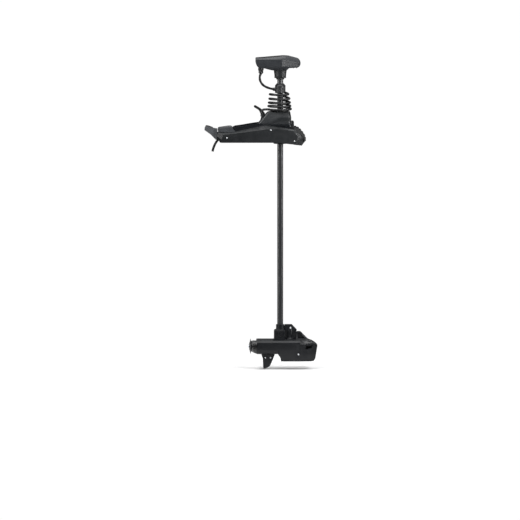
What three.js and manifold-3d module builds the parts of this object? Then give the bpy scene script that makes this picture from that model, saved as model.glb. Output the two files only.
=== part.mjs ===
// Bow-mount trolling motor: a fixed deck mount with an open channel, a steering servo that tilts
// in the channel, a sliding and steering shaft, a display head on top, and an electric lower
// unit with a two-blade propeller, skeg and sensor housing.
// Millimetres, +Z up, bow towards +X, origin at the centre of the deck face. Pieces are laid out
// from the shaft axis. "left" in a piece name is the -Y side, "right" the +Y side.
import * as THREE from 'three';
import { mergeVertices } from 'three/addons/utils/BufferGeometryUtils.js';
import { ConvexGeometry } from 'three/addons/geometries/ConvexGeometry.js';
import Module from 'manifold-3d';

const wasm = await Module();
wasm.setup();

// ---- shared dimensions ----------------------------------------------------------------
const FIT = 0.4;                 // running clearance
const GAP = 0.3;                 // gap between pieces that rest on each other
const SHAFT_X = 200;             // shaft axis, forward of the centre of the deck face
const SHAFT_R = 18.8;
const SHAFT_HOLE_R = SHAFT_R + FIT;
const SHAFT_TOP = 447;           // inside the head socket
const SHAFT_LOW = -1158;         // inside the lower bracket
const CORD_R = 7;                // coiled cord and loop cable
const CHANNEL = 54;              // half width of the open channel
const WEB_OUTER = CHANNEL + 6;   // outer face of the channel webs
const MOTOR_Z = -1248;           // motor axis
const MOTOR_R = 47.5;
// pins across the mount: centre [x, z] and radius
const PIVOT = [-88, 88];         // stow pivot
const PIVOT_R = 6.5;
const PEDAL_PIN = [-392, 48];
const PEDAL_PIN_R = 4.2;
const PAWL_PIN = [-120, 22];
const LEVER_PIN = [-113, 156];
const PUSH_ROD = [40, 14];       // [y, z] of the push rod axis
const CABLE_Z = 17.5;            // height of the power cable where it leaves the channel

// ---- finishes -------------------------------------------------------------------------
const CHARCOAL = { color: 0x2b2d30 };
const SATIN = { color: 0x3a3c3e };
const BLACK = { color: 0x17181a };
const STEEL = { color: 0xb9bcc0, metalness: 1 };
const ALLOY = { color: 0x6f7276, metalness: 1 };
const BOARD_GREEN = { color: 0x1f5a34 };

// ---- helpers: a span is [from, to], an outline is a list of points --------------------
function solid(geo) {
  const loose = geo.index ? geo.toNonIndexed() : geo;
  const bare = new THREE.BufferGeometry().setAttribute('position', loose.getAttribute('position'));
  const merged = mergeVertices(bare, 1e-3);
  return new wasm.Manifold(new wasm.Mesh({
    numProp: 3,
    vertProperties: merged.attributes.position.array,
    triVerts: new Uint32Array(merged.index.array),
  }));
}
const union = (...list) => list.reduce((a, b) => a.add(b));
const cut = (body, ...tools) => tools.reduce((a, b) => a.subtract(b), body);
const largest = (body) => body.decompose().sort((a, b) => b.volume() - a.volume())[0];
const across = (half) => [-half, half];
// the same build on the -Y and the +Y side
const pair = (inner, outer, build) => build([-outer, -inner]).add(build([inner, outer]));

function extrude(outline, length, bevel = 0) {
  return new THREE.ExtrudeGeometry(new THREE.Shape(outline.map((p) => new THREE.Vector2(...p))), {
    depth: length - 2 * bevel,
    bevelEnabled: bevel > 0,
    bevelThickness: bevel,
    bevelSize: bevel,
    bevelOffset: -bevel,
    bevelSegments: 1,
  });
}
// outline in [x, z], extruded over a span of y
function extrudeY(outline, [y0, y1], bevel = 0) {
  return solid(extrude(outline, y1 - y0, bevel).rotateX(Math.PI / 2).translate(0, y1 - bevel, 0));
}
// outline in [x, y], extruded over a span of z
function extrudeZ(outline, [z0, z1]) {
  return solid(extrude(outline, z1 - z0).translate(0, 0, z0));
}
function box([x0, x1], [y0, y1], [z0, z1]) {
  const geo = new THREE.BoxGeometry(x1 - x0, y1 - y0, z1 - z0);
  return solid(geo.translate((x0 + x1) / 2, (y0 + y1) / 2, (z0 + z1) / 2));
}
// cylinder along an axis; centre holds its other two coordinates in x, y, z order
function rod(axis, radius, [from, to], centre = [0, 0], sides = 20) {
  const [a, b] = centre;
  const geo = new THREE.CylinderGeometry(radius, radius, to - from, sides);
  geo.translate(0, (from + to) / 2, 0);
  if (axis === 'z') geo.rotateX(Math.PI / 2).translate(a, b, 0);
  if (axis === 'x') geo.rotateZ(-Math.PI / 2).translate(0, a, b);
  if (axis === 'y') geo.translate(a, 0, b);
  return solid(geo);
}
const hull = (points) => solid(new ConvexGeometry(points.map((p) => new THREE.Vector3(...p))));
// turned about Z from a profile of [radius, z], closed on itself unless it starts on the axis
function lathe(profile, sides = 24) {
  const list = profile[0][0] > 0 ? [...profile, profile[0]] : [...profile];
  let area = 0;
  list.forEach(([r, z], i) => {
    const [nextR, nextZ] = list[(i + 1) % list.length];
    area += r * nextZ - nextR * z;
  });
  if (area < 0) list.reverse();   // keeps the faces pointing outwards
  const geo = new THREE.LatheGeometry(list.map((p) => new THREE.Vector2(...p)), sides);
  return solid(geo.rotateX(Math.PI / 2));
}
function ring(inner, outer, [z0, z1], sides = 24) {
  return lathe([[inner, z0], [outer, z0], [outer, z1], [inner, z1]], sides);
}
function tube(curve, radius, steps, sides = 10) {
  const corners = Array.from({ length: sides }, (_, i) => {
    const angle = (2 * Math.PI * i) / sides;
    return new THREE.Vector2(radius * Math.cos(angle), radius * Math.sin(angle));
  });
  const section = new THREE.Shape(corners);
  const options = { steps, extrudePath: curve, bevelEnabled: false };
  return solid(new THREE.ExtrudeGeometry(section, options));
}
function spline(points) {
  const list = points.map((p) => new THREE.Vector3(...p));
  return new THREE.CatmullRomCurve3(list, false, 'centripetal');
}
// turns a piece built about +Z to face out through one side of the mount
const faceOut = (body, sign, [x, z]) => body.rotate([-90 * sign, 0, 0]).translate([x, 0, z]);
// lays a piece built about +Z along the motor axis
const onMotorAxis = (body) => body.rotate([0, 90, 0]).translate([0, 0, MOTOR_Z]);
const bothSides = (points) => points.flatMap(([x, y, z]) => [[x, y, z], [x, -y, z]]);

const root = new THREE.Group();
const motor = new THREE.Group();
motor.position.x = SHAFT_X;
root.add(motor);

function part(name, body, base, finish) {
  const { vertProperties, triVerts } = body.getMesh();
  const geo = new THREE.BufferGeometry();
  geo.setAttribute('position', new THREE.BufferAttribute(new Float32Array(vertProperties), 3));
  geo.setIndex(new THREE.BufferAttribute(new Uint32Array(triVerts), 1));
  geo.computeVertexNormals();
  const mesh = new THREE.Mesh(geo, new THREE.MeshStandardMaterial({ ...base, ...finish }));
  mesh.name = name;
  motor.add(mesh);
}

// ---- mount frame ----------------------------------------------------------------------
const STERN_X = -346;
const PLATE_END_X = -72;         // bow end of the base plate
const PLATE_TOP = 5;
const FLANGE_X = [-74, 92];      // floor flanges beside the open bow half
const FLANGE_Z = [3, 8];
const FLOOR_HALF = 84;
const LUG_Y = [21, 28];          // pedal lugs
const BUSHING_R = 9.2;
// [x, z]
const WEB_OUTLINE = [
  [STERN_X, 0], [PLATE_END_X, 0], [PLATE_END_X, 3], [95, 3], [95, 18], [72, 58],
  [-10, 84], [-60, 99.5], [-106, 99.5], [-276, 62], [STERN_X, 54],
];
const PEDAL_LUG = [
  [-342, 12], [-342, 56], [-388, 57], [-398, 54], [-400, 47], [-397, 41], [-388, 38], [-372, 14],
];
const PAWL_LUG = [[-130, 4], [-110, 4], [-112, 30], [-128, 30]];
const sternHoles = union(
  rod('x', 11, [-390, -338], [0, CABLE_Z]),
  rod('x', 5, [-390, -338], PUSH_ROD, 16),
);

function baseFrame() {
  const webs = cut(
    pair(CHANNEL, WEB_OUTER, (y) => extrudeY(WEB_OUTLINE, y)),
    rod('y', BUSHING_R + GAP, across(WEB_OUTER + 1), PIVOT, 24),
  );
  const pedalLugs = cut(
    pair(...LUG_Y, (y) => extrudeY(PEDAL_LUG, y)),
    rod('y', PEDAL_PIN_R + FIT, across(LUG_Y[1] + 1), PEDAL_PIN),
  );
  const frame = union(
    box([STERN_X, PLATE_END_X], across(FLOOR_HALF), [0, PLATE_TOP]),
    webs,
    pair(CHANNEL + 1, FLOOR_HALF, (y) => box(FLANGE_X, y, FLANGE_Z)),
    pedalLugs,
    pair(9, 15, (y) => extrudeY(PAWL_LUG, y)),
    rod('y', 2.9, across(10), PAWL_PIN, 16),
    box([STERN_X, STERN_X + 5], across(58), [0, 54]),
  );
  return cut(frame, sternHoles);
}
part('base_frame', baseFrame(), { color: 0x4a4c4f }, { roughness: 0.5, metalness: 0.8 });

// ---- side covers ----------------------------------------------------------------------
const COVER_Y = 92;              // outer face of the covers
const COVER_WALL = 3;
const COVER_INNER_Y = WEB_OUTER + GAP;
const PAD_OUTER = 79;            // outer face of the ramp pads
const COVER_SCREWS = [[-322, 30], [87, 12]];   // [x, z]
const TOP_SEAT = [-57, 79];      // third screw seat, [x, z]
// end sections of the convex bays:
// [bottom x, top x, bottom z, shoulder z, top z, outer y, upper y]
const STERN_SECTION = [50, 58, 73, 68];
const COVER_SECTIONS = [
  [-364, -377, 0, ...STERN_SECTION],
  [-342, -342, 0, 54, 62, COVER_Y, 84],
  [-276, -276, 0, 57, 67, COVER_Y, 74],
  [-131, -131, 0, 65, 97.5, COVER_Y, 71],
  [-106, -106, 0, 71, 103, COVER_Y, 71],
  [-74, -74, 0, 79, 103, COVER_Y, 72],
  [-16, -16, 0, 76, 90, COVER_Y, 76],
  [74, 74, -7, 68, 76, COVER_Y, 82],
];
const HOLLOW_STERN = [-360, -371, 0, ...STERN_SECTION];
// outer points of the bow nose, [x, y, z]
const COVER_NOSE = [
  [74, COVER_Y, -9], [74, COVER_Y, 68], [74, 82, 76], [98, COVER_Y, -14], [110, COVER_Y, 30],
  [98, 84, 62], [130, 70, -20], [156, 66, 13], [148, 68, 30], [124, 74, 56],
];
// ribbed pad on the sloping nose and the recess for it, [x, z]
const PAD = [
  [84, 79], [84, 88], [90, 90], [97, 88], [100, 83], [107, 84.5], [113, 80], [114, 73],
  [121, 73], [127, 67], [127, 60], [134, 58], [140, 51], [140, 44], [146, 40.5], [151, 32],
  [150, 25], [155, 20], [156, 12], [148, 8], [142, 27], [124, 50], [104, 68],
];
const PAD_RECESS = [
  [83.7, 79.3], [83.7, 95], [170, 95], [170, 11.7], [148, 7.5], [141.6, 26.8], [123.7, 49.7],
  [103.7, 67.7],
];

function coverSection([bottomX, topX, bottomZ, shoulderZ, topZ, outerY, upperY], wall, innerY) {
  const low = wall ? bottomZ - 4 : bottomZ;
  const shoulderX = bottomX + (topX - bottomX) * (shoulderZ / topZ);
  return [
    [bottomX, innerY, low],
    [bottomX, outerY - wall, low],
    [shoulderX, outerY - wall, shoulderZ - 0.6 * wall],
    [topX, upperY - 0.6 * wall, topZ - wall],
    [topX, innerY, topZ - wall],
  ];
}
function hollowNosePoint([x, y, z]) {
  const innerZ = z < 0 ? z - (x < 120 ? 6 : 0) : z - 0.8 * COVER_WALL;
  return [Math.min(x, 151) - (x > 120 ? 1.5 : 0), y - COVER_WALL, innerZ];
}
// wall 0 gives the outside, COVER_WALL the hollow, which runs out past the open faces
function coverBody(wall) {
  const innerY = wall ? WEB_OUTER - 2 : COVER_INNER_Y;
  const rows = wall ? [HOLLOW_STERN, ...COVER_SECTIONS.slice(1)] : COVER_SECTIONS;
  const sections = rows.map((row) => coverSection(row, wall, innerY));
  const bays = sections.slice(1).map((section, i) => hull([...sections[i], ...section]));
  const nose = wall ? COVER_NOSE.map(hollowNosePoint) : COVER_NOSE;
  return union(...bays, hull(nose.flatMap(([x, y, z]) => [[x, y, z], [x, innerY, z]])));
}
function rightCover() {
  const block = cut(
    box([-70, -46], [61, 90], [66, 82]),
    rod('y', 2, [60, 95], [-57, 70], 12),
  );
  const bosses = COVER_SCREWS.map((centre) => rod('y', 8, [61, 90.5], centre, 16));
  const seats = [...COVER_SCREWS, TOP_SEAT].map((centre) => rod('y', 5.4, [89, 94], centre));
  return largest(cut(
    union(cut(coverBody(0), coverBody(COVER_WALL)), ...bosses, block),
    ...seats,
    extrudeY(PAD_RECESS, [60, PAD_OUTER + GAP]),
    // keep clear of the base plate, the floor flanges and the webs
    box([STERN_X - FIT, PLATE_END_X + FIT], [-90, FLOOR_HALF + FIT], [-1, PLATE_TOP + GAP]),
    box(
      [FLANGE_X[0] - FIT, FLANGE_X[1] + FIT],
      [0, FLOOR_HALF + FIT],
      [FLANGE_Z[0] - FIT, FLANGE_Z[1] + GAP],
    ),
    box([-380, 96], [-90, COVER_INNER_Y], [-30, 110]),
  ));
}
const cover = rightCover();
part('left_side_cover', cover.mirror([0, 1, 0]), CHARCOAL, { roughness: 0.55 });
part('right_side_cover', cover, CHARCOAL, { roughness: 0.55 });
const PAD_INNER = CHANNEL + 0.5;
part('left_ramp_pad', extrudeY(PAD, [-PAD_OUTER, -PAD_INNER]), BLACK, { roughness: 0.9 });
part('right_ramp_pad', extrudeY(PAD, [PAD_INNER, PAD_OUTER]), BLACK, { roughness: 0.9 });

// [radius, distance from the centre plane]
const SCREW_HEAD = [[0, 89.3], [4.8, 89.3], [4.8, 91.4], [3.6, 92.6], [0, 92.6]];
[-1, 1].forEach((sign, row) => COVER_SCREWS.forEach((centre, i) => {
  const head = faceOut(lathe(SCREW_HEAD, 20), sign, centre);
  part(`cover_screw_${2 * row + i + 1}`, head, STEEL, { roughness: 0.25 });
}));

// ---- stern cap, saddle and channel tray -----------------------------------------------
function sternCap() {
  const wedge = hull(bothSides([[-364, 66, 0], [-377, 66, 58], [-347, 66, 0], [-347, 66, 60]]));
  const trimmed = cut(
    wedge,
    pair(LUG_Y[0] - FIT, LUG_Y[1] + FIT, (y) => box([-400, -340], y, [-1, 70])),
    sternHoles,
    pair(59.9, 70, (y) => box([-390, -340], y, [-5, 80])),
  );
  // a strap across the top keeps the cap in one piece around the pedal lugs
  return largest(trimmed.add(box([-376, -347], across(59.9), [57.6, 62])));
}
part('stern_end_cap', sternCap(), SATIN, { roughness: 0.55 });

const SADDLE = [
  [-376, 62.4], [-377, 86], [-372, 88], [-312, 97], [-305, 96], [-278, 66], [-278, 6],
  [-340.6, 6], [-340.6, 62.4],
];
// V-less block with a round trough on top and two passages along its underside
function saddleBlock() {
  return cut(
    extrudeY(SADDLE, across(53), 2),
    rod('x', 27, [-400, -260], [0, 112], 28),
    box([-342, -270], [34, 46], [0, 22]),
    box([-342, -270], across(12), [0, 34]),
  );
}
part('saddle_block', saddleBlock(), SATIN, { roughness: 0.6 });

function channelTray() {
  const RIB_Z = [7.5, 11];
  let tray = box([-277.5, -134], across(50), [PLATE_TOP + GAP, 8]);
  for (let x = -262; x < -140; x += 24) {
    tray = union(tray, box([x, x + 4], [-50, -20], RIB_Z), box([x, x + 4], [20, 34], RIB_Z));
  }
  // slot under the push rod
  return largest(cut(tray, box([-280, -130], [36, 44.5], [0, 20])));
}
part('channel_tray', channelTray(), BLACK, { roughness: 0.8 });

// ---- pins, bushings and power cable ---------------------------------------------------
const pivotPin = union(
  rod('y', PIVOT_R, across(66), PIVOT, 24),
  pair(61.2, 66, (y) => rod('y', 9, y, PIVOT, 24)),
);
part('pivot_pin', pivotPin, STEEL, { roughness: 0.3 });
for (const [name, sign] of [['pivot_bushing_left', -1], ['pivot_bushing_right', 1]]) {
  const bushing = ring(PIVOT_R + GAP, BUSHING_R, [CHANNEL - 2, WEB_OUTER + 0.8]);
  part(name, faceOut(bushing, sign, PIVOT), { color: 0xd8d4c8 }, { roughness: 0.5 });
}
const PEDAL_HALF = 36;
const pedalPin = rod('y', PEDAL_PIN_R, across(PEDAL_HALF), PEDAL_PIN);
part('pedal_pin', pedalPin, STEEL, { roughness: 0.3 });
const POWER_PATH = spline([
  [-318, 0, CABLE_Z], [-345, 0, CABLE_Z], [-368, 0, 15], [-383, 0, 3], [-396, 0, -18],
  [-405, 0, -40], [-410, 0, -60],
]);
part('power_cable', tube(POWER_PATH, CORD_R + 0.2, 18), BLACK, { roughness: 0.75 });

// ---- pedal, push rod and lock pawl: outlines in [x, z] --------------------------------
const PEDAL = [
  [-459, 72], [-456, 89], [-449, 94], [-441, 94], [-426, 89.5], [-406, 81.5], [-381, 77],
  [-380.5, 62], [-382.5, 36], [-386, 14], [-391, 14], [-420, 45],
];
const PEDAL_HOLLOW = [
  [-449, 70], [-450, 84], [-441, 87.5], [-424, 83], [-404, 75.5], [-387, 71], [-387, 62],
  [-389, 36], [-391, 5], [-425, 30], [-460, 60],
];
const TREAD = [
  [-451.5, 94.6], [-451.5, 97], [-440.8, 97.2], [-425.6, 92.7], [-409, 86.2], [-409, 83.2],
  [-425.9, 90], [-440.9, 94.6],
];
const PAWL = [
  [-128, 14], [-114, 14], [-108, 24], [-94, 42], [-90, 55], [-98, 51], [-112, 33], [-124, 31],
  [-129, 24],
];
const footPedal = cut(
  extrudeY(PEDAL, across(PEDAL_HALF), 3),
  extrudeY(PEDAL_HOLLOW, across(20)),
  box([-404, -376], across(LUG_Y[1] + 0.6), [0, 66]),   // room for the lugs
  rod('y', PEDAL_PIN_R + FIT, across(40), PEDAL_PIN),
);
part('foot_pedal', footPedal, SATIN, { roughness: 0.55 });
part('pedal_tread', extrudeY(TREAD, across(28)), BLACK, { roughness: 0.9 });
const pushRod = union(
  rod('x', 3, [-371, -134], PUSH_ROD, 16),
  rod('x', 5.5, [-140, -132], PUSH_ROD, 16),
);
part('push_rod', pushRod, STEEL, { roughness: 0.35 });
const lockPawl = cut(extrudeY(PAWL, across(8)), rod('y', 3.4, across(9), PAWL_PIN, 16));
part('lock_pawl', lockPawl, ALLOY, { roughness: 0.4 });

// ---- steering servo, tilts with the stow pivot ----------------------------------------
const PINION = [-47, 0];         // pinion axis, [x, y]
const CHASSIS_BORE = 29;
const SLEEVE_R = 24.2;
const SHROUD_HALF = 49;
const SHROUD_HOLLOW_HALF = 46.2;
const TAIL_HOLE_R = CORD_R + 1;
const PINION_SHAFT_R = 2.6;
// outlines in [x, z]
const CHASSIS = [[-66, -1], [60, -1], [60, 112], [-66, 112]];
const PIVOT_BOSS = [
  [-60, 50], [-60, 111], [-88, 111.5], [-102, 108], [-110, 97], [-112, 88], [-108, 76],
  [-98, 67], [-86, 64],
];
const SHROUD = [
  [-139, 104], [-138, 116], [-78, 180], [-70, 183], [54, 183], [58, 181], [66.5, 145],
  [66.5, 104],
];
const SHROUD_HOLLOW = [
  [-135, 100], [-134.4, 114.8], [-76.2, 176.8], [-69, 179.8], [52, 179.8], [55, 178],
  [63, 144], [63, 100],
];
const FRONT_BLOCK = [[67, 78], [67, 126], [79, 126], [83, 118], [84, 80]];
const LEVER_CLEVIS = [
  [-127, 128.6], [-99, 158.4], [-102, 165], [-112, 166], [-120, 160], [-124, 150],
  [-131, 137], [-131, 131],
];
// end of the coiled cord, led down into the shroud
const TAIL_PATH = spline([
  [-55.5, -47.5, 197], [-70, -34, 198], [-86, -24, 197.5], [-104, -21.5, 195],
  [-114, -21.5, 186], [-113, -21.5, 173], [-105, -22, 158], [-103, -22, 140],
]);

function servoChassis() {
  return cut(
    union(extrudeY(CHASSIS, across(45), 4), extrudeY(PIVOT_BOSS, across(44))),
    rod('y', PIVOT_R + FIT, across(60), PIVOT, 24),
    rod('z', CHASSIS_BORE, [-10, 130], [0, 0], 40),
    rod('z', 14.5, [52, 130], PINION, 28),
    // lightening pockets in the flanks
    pair(38, 50, (y) => box([34, 56], y, [12, 98])),
    pair(38, 50, (y) => box([-26, 26], y, [12, 98])),
  );
}
part('servo_chassis', servoChassis(), ALLOY, { roughness: 0.5 });

function servoShroud() {
  return largest(cut(
    extrudeY(SHROUD, across(SHROUD_HALF), 6),
    extrudeY(SHROUD_HOLLOW, across(SHROUD_HOLLOW_HALF), 4),
    rod('z', 27, [170, 190], [0, 0], 36),
    box([-136, 70], across(60), [95, 104.2]),
    box([-112, -58], across(SHROUD_HOLLOW_HALF), [100, 113]),
    tube(TAIL_PATH, TAIL_HOLE_R, 20, 12),
    rod('z', TAIL_HOLE_R, [120, 145], [-103, -22], 16),
  ));
}
part('servo_shroud', servoShroud(), CHARCOAL, { roughness: 0.5 });

const frontBlock = union(
  extrudeY(FRONT_BLOCK, across(24), 2),
  box([60.3, 70], across(18), [84, 98]),
);
part('front_block', frontBlock, BLACK, { roughness: 0.7 });
const sleeveBearing = (z) => ring(SLEEVE_R + FIT, CHASSIS_BORE - FIT, z);
const lowerBushing = union(ring(19.6, 41, [-12, -1.3]), sleeveBearing([-1.5, 16]));
part('lower_bushing', lowerBushing, BLACK, { roughness: 0.6 });
part('upper_bearing', sleeveBearing([96, 112]), STEEL, { roughness: 0.3 });
const steeringMotor = union(
  rod('z', 14, [53, 111.6], PINION, 28),
  rod('z', PINION_SHAFT_R, [111, 129.5], PINION, 16),
);
part('steering_motor', steeringMotor, { color: 0x8b8e92 }, { roughness: 0.35, metalness: 1 });
const controlBoard = cut(
  box([-64, 46], across(40), [150, 151.8]),
  rod('z', 30, [140, 160], [0, 0], 28),
  rod('z', 9, [140, 160], PINION, 16),
);
part('control_board', controlBoard, BOARD_GREEN, { roughness: 0.6 });

// clevis for the clamp lever, on the sloping stern face of the shroud
const leverBracket = union(
  cut(extrudeY(LEVER_CLEVIS, across(14)), box([-121, -90], across(8.4), [100, 200])),
  rod('y', 2.7, across(11), LEVER_PIN, 16),
);
part('lever_bracket', largest(leverBracket), BLACK, { roughness: 0.6 });
part('coil_tail', tube(TAIL_PATH, CORD_R, 20), BLACK, { roughness: 0.6 });

// ---- steering sleeve and gears --------------------------------------------------------
const GEAR_TEETH = 36;
const PINION_TEETH = 9;
const MODULE = 2 * -PINION[0] / (GEAR_TEETH + PINION_TEETH);
const GEAR_Z = [119, 129];
const TOOTH_FILL = 0.8;          // tooth width at the root, as a share of the pitch, before taper

function gearOutline(teeth, phase) {
  const pitchR = (teeth * MODULE) / 2;
  const tipR = pitchR + 0.85 * MODULE;
  const rootR = pitchR - 1.15 * MODULE;
  const half = (Math.PI / teeth) * TOOTH_FILL;
  const corners = [[rootR, -0.78], [tipR, -0.34], [tipR, 0.34], [rootR, 0.78]];
  return Array.from({ length: teeth }, (_, i) => corners.map(([r, share]) => {
    const angle = phase + (2 * Math.PI * i) / teeth + half * share;
    return [r * Math.cos(angle), r * Math.sin(angle)];
  })).flat();
}
const steeringSleeve = ring(SHAFT_R + 0.6, SLEEVE_R, [-0.6, 183.2]);
part('steering_sleeve', steeringSleeve, ALLOY, { roughness: 0.35 });
const driveGear = cut(
  extrudeZ(gearOutline(GEAR_TEETH, 0), GEAR_Z),
  rod('z', SLEEVE_R + GAP, [110, 140], [0, 0], 40),
);
part('drive_gear', driveGear, { color: 0xd9d2b8 }, { roughness: 0.5 });
const COIL_BASE = [[26, 183.8], [50, 184.4], [56, 187], [56, 189], [26, 190]];
part('coil_base_ring', lathe(COIL_BASE, 28), BLACK, { roughness: 0.6 });
const pinion = cut(
  extrudeZ(gearOutline(PINION_TEETH, Math.PI / PINION_TEETH), GEAR_Z),
  rod('z', PINION_SHAFT_R + FIT, [110, 140], [0, 0], 16),
).translate([...PINION, 0]);
part('steering_pinion', pinion, { color: 0xc9a24a }, { roughness: 0.4, metalness: 1 });

// ---- clamp lever ----------------------------------------------------------------------
const LEVER = [
  [-106, 152], [-104, 162], [-102, 170], [-106, 186], [-112, 196], [-122, 203], [-140, 214],
  [-149, 220.5], [-157, 221], [-161, 215], [-158, 208], [-146, 201], [-131, 192], [-122, 180],
  [-117, 168], [-120, 160], [-119, 152], [-113, 149],
];
const clampLever = cut(
  extrudeY(LEVER, across(7.5), 1),
  rod('y', 3.2, across(10), LEVER_PIN, 16),
);
part('clamp_lever', clampLever, BLACK, { roughness: 0.6 });

// ---- shaft and coiled cord ------------------------------------------------------------
// composite tube with four shallow flutes
function shaftTube() {
  const FLUTE_DEPTH = 0.9;
  const outline = Array.from({ length: 32 }, (_, i) => {
    const angle = (2 * Math.PI * i) / 32 + Math.PI / 32;
    const r = i % 8 === 3 || i % 8 === 4 ? SHAFT_R - FLUTE_DEPTH : SHAFT_R;
    return [r * Math.cos(angle), r * Math.sin(angle)];
  });
  return cut(
    extrudeZ(outline, [SHAFT_LOW, SHAFT_TOP]),
    rod('z', 14.5, [SHAFT_LOW - 1, SHAFT_TOP + 1]),
  );
}
part('shaft_tube', shaftTube(), BLACK, { roughness: 0.35 });
const COLLAR = [
  [SHAFT_HOLE_R, 296], [31, 296], [32, 298], [32, 340], [22.5, 353], [SHAFT_HOLE_R, 353],
];
part('depth_collar', lathe(COLLAR), CHARCOAL, { roughness: 0.55 });

const COIL = {
  leanX: -4.5,     // the coil hangs a little aft of the shaft axis
  start: -0.125,   // in turns
  turns: 4.625,
  low: 198,        // height of the lowest turn
  radius: 69,
};
// coiled cord: wider and closer wound towards the bottom, drawn in over its last part at the top
class CoilCurve extends THREE.Curve {
  getPoint(t, target = new THREE.Vector3()) {
    const turn = COIL.turns * t + COIL.start;
    const angle = 1.5 * Math.PI + 2 * Math.PI * turn;
    const whole = Math.floor(turn);
    const rise = Math.min(1, Math.max(0, (turn - whole - 0.2) / 0.6));
    // each turn lies level for a stretch, then eases up to the next
    const level = (n) => COIL.low + 18 * n + 1.5 * n * (n - 1);
    const step = (level(whole + 1) - level(whole)) * rise * rise * (3 - 2 * rise);
    const z = whole < 0 ? COIL.low : level(whole) + step;
    const r = COIL.radius - 2.9 * turn - (turn > 4 ? 14 * (turn - 4) : 0);
    return target.set(COIL.leanX + r * Math.cos(angle), r * Math.sin(angle), z);
  }
}
part('coil_cord', tube(new CoilCurve(), CORD_R, 64, 7), BLACK, { roughness: 0.5 });

// ---- head: hull points of the +Y half, [x, y, z] --------------------------------------
const HEAD_WALL = 3;
const GLAND = [-117, 0];         // loop cable entry, [x, y]
const BUTTON = [30, 0];          // [x, y]
const BUTTON_R = 7;
const LOWER_WAIST = [[7, 58, 447.6], [7, 65, 500.8]];
const LOWER_REAR = [
  [-127, 50, 447.6], [-141, 56, 459], [-150, 60, 480], [-152, 61, 500.8],
  [-40, 58, 447.6], ...LOWER_WAIST, [-60, 65, 500.8],
];
const LOWER_NOSE = [
  [30, 55, 447.8], [106, 22, 450.5], [118, 24, 461], [122, 26, 478], [117, 28, 485.7],
];
const UPPER_WAIST = [[7, 65, 501.2], [12, 52, 527]];
const UPPER_REAR = [
  [-152, 61, 501.2], [-146, 54, 509],
  [-60, 65, 501.2], [7, 65, 501.2], [-30, 53, 522.5], [12, 52, 527],
];
const UPPER_NOSE = [[117, 28, 486.1], [116, 24, 497], [99, 20, 514], [40, 50, 524]];

const headHalves = (rear, nose) => union(hull(bothSides(rear)), hull(bothSides(nose)));
// moves points in by the wall; moveZ then carries the open edge past the shell
function hollow(points, moveZ) {
  return points.map(([x, y, z]) => {
    const endShift = x < -20 ? HEAD_WALL : x > 60 ? -HEAD_WALL : 0;
    const faceShift = z > 505 ? -HEAD_WALL : z < 455 ? HEAD_WALL : 0;
    return [x + endShift, y - HEAD_WALL, moveZ(z + faceShift)];
  });
}
function lowerShell() {
  const openTop = (z) => (z > 495 ? 512 : z);
  const openNose = (z) => (z > 480 ? z + 14 : z);
  return largest(cut(
    headHalves(LOWER_REAR, [...LOWER_WAIST, ...LOWER_NOSE]),
    headHalves(
      hollow(LOWER_REAR, openTop),
      [...hollow(LOWER_WAIST, openTop), ...hollow(LOWER_NOSE, openNose)],
    ),
    rod('z', SHAFT_HOLE_R, [440, 460], [0, 0], 32),
    rod('z', 9, [440, 460], GLAND),
  ));
}
// slab that follows the sloping rear top, between two heights measured from it
function topSlab([x0, x1], half, heights) {
  const slope = (509 - 527) / (-146 - 12);
  const topZ = (x) => 527 + slope * (x - 12);
  return hull(bothSides(heights.flatMap((h) => [x0, x1].map((x) => [x, half, topZ(x) + h]))));
}
function upperShell() {
  const openBottom = (z) => (z < 505 ? 495 : z);
  const openNose = (z) => (z < 503 ? z - 8 : z);
  return largest(cut(
    headHalves(UPPER_REAR, [...UPPER_WAIST, ...UPPER_NOSE]),
    headHalves(
      hollow(UPPER_REAR, openBottom),
      [[7, 62, 492], [12, 49, 523.6], ...hollow(UPPER_NOSE, openNose)],
    ),
    topSlab([-128, -4], 44, [-1.8, 9]),   // pocket for the display panel
    rod('z', BUTTON_R + FIT, [505, 535], BUTTON, 24),
  ));
}
part('head_lower_shell', lowerShell(), SATIN, { roughness: 0.5 });
part('head_upper_shell', upperShell(), SATIN, { roughness: 0.5 });
const displayPanel = topSlab([-127.5, -4.5], 43.5, [-1.5, 0.6]);
part('display_panel', displayPanel, { color: 0x0c0d0f }, { roughness: 0.15 });
const powerButton = union(
  rod('z', BUTTON_R, [518.6, 527.4], BUTTON, 24),
  rod('z', 9, [516, 518.8], BUTTON, 24),
);
part('power_button', powerButton, BLACK, { roughness: 0.5 });
const headBoard = cut(
  box([-120, 60], across(42), [470, 471.8]),
  rod('z', 8, [460, 480], [0, 0], 16),
);
part('head_board', headBoard, BOARD_GREEN, { roughness: 0.6 });

// turned profiles, [radius, z]
const SOCKET = [
  [SHAFT_HOLE_R, 387], [32, 387], [34, 392], [38, 430], [44, 446.9], [SHAFT_HOLE_R, 446.9],
];
const GLAND_HOLE_R = CORD_R + 0.8;
const GLAND_PROFILE = [
  [GLAND_HOLE_R, 414], [12.5, 414], [13, 416], [13, 430], [17, 432], [17, 447.2],
  [GLAND_HOLE_R, 447.2],
];
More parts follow.
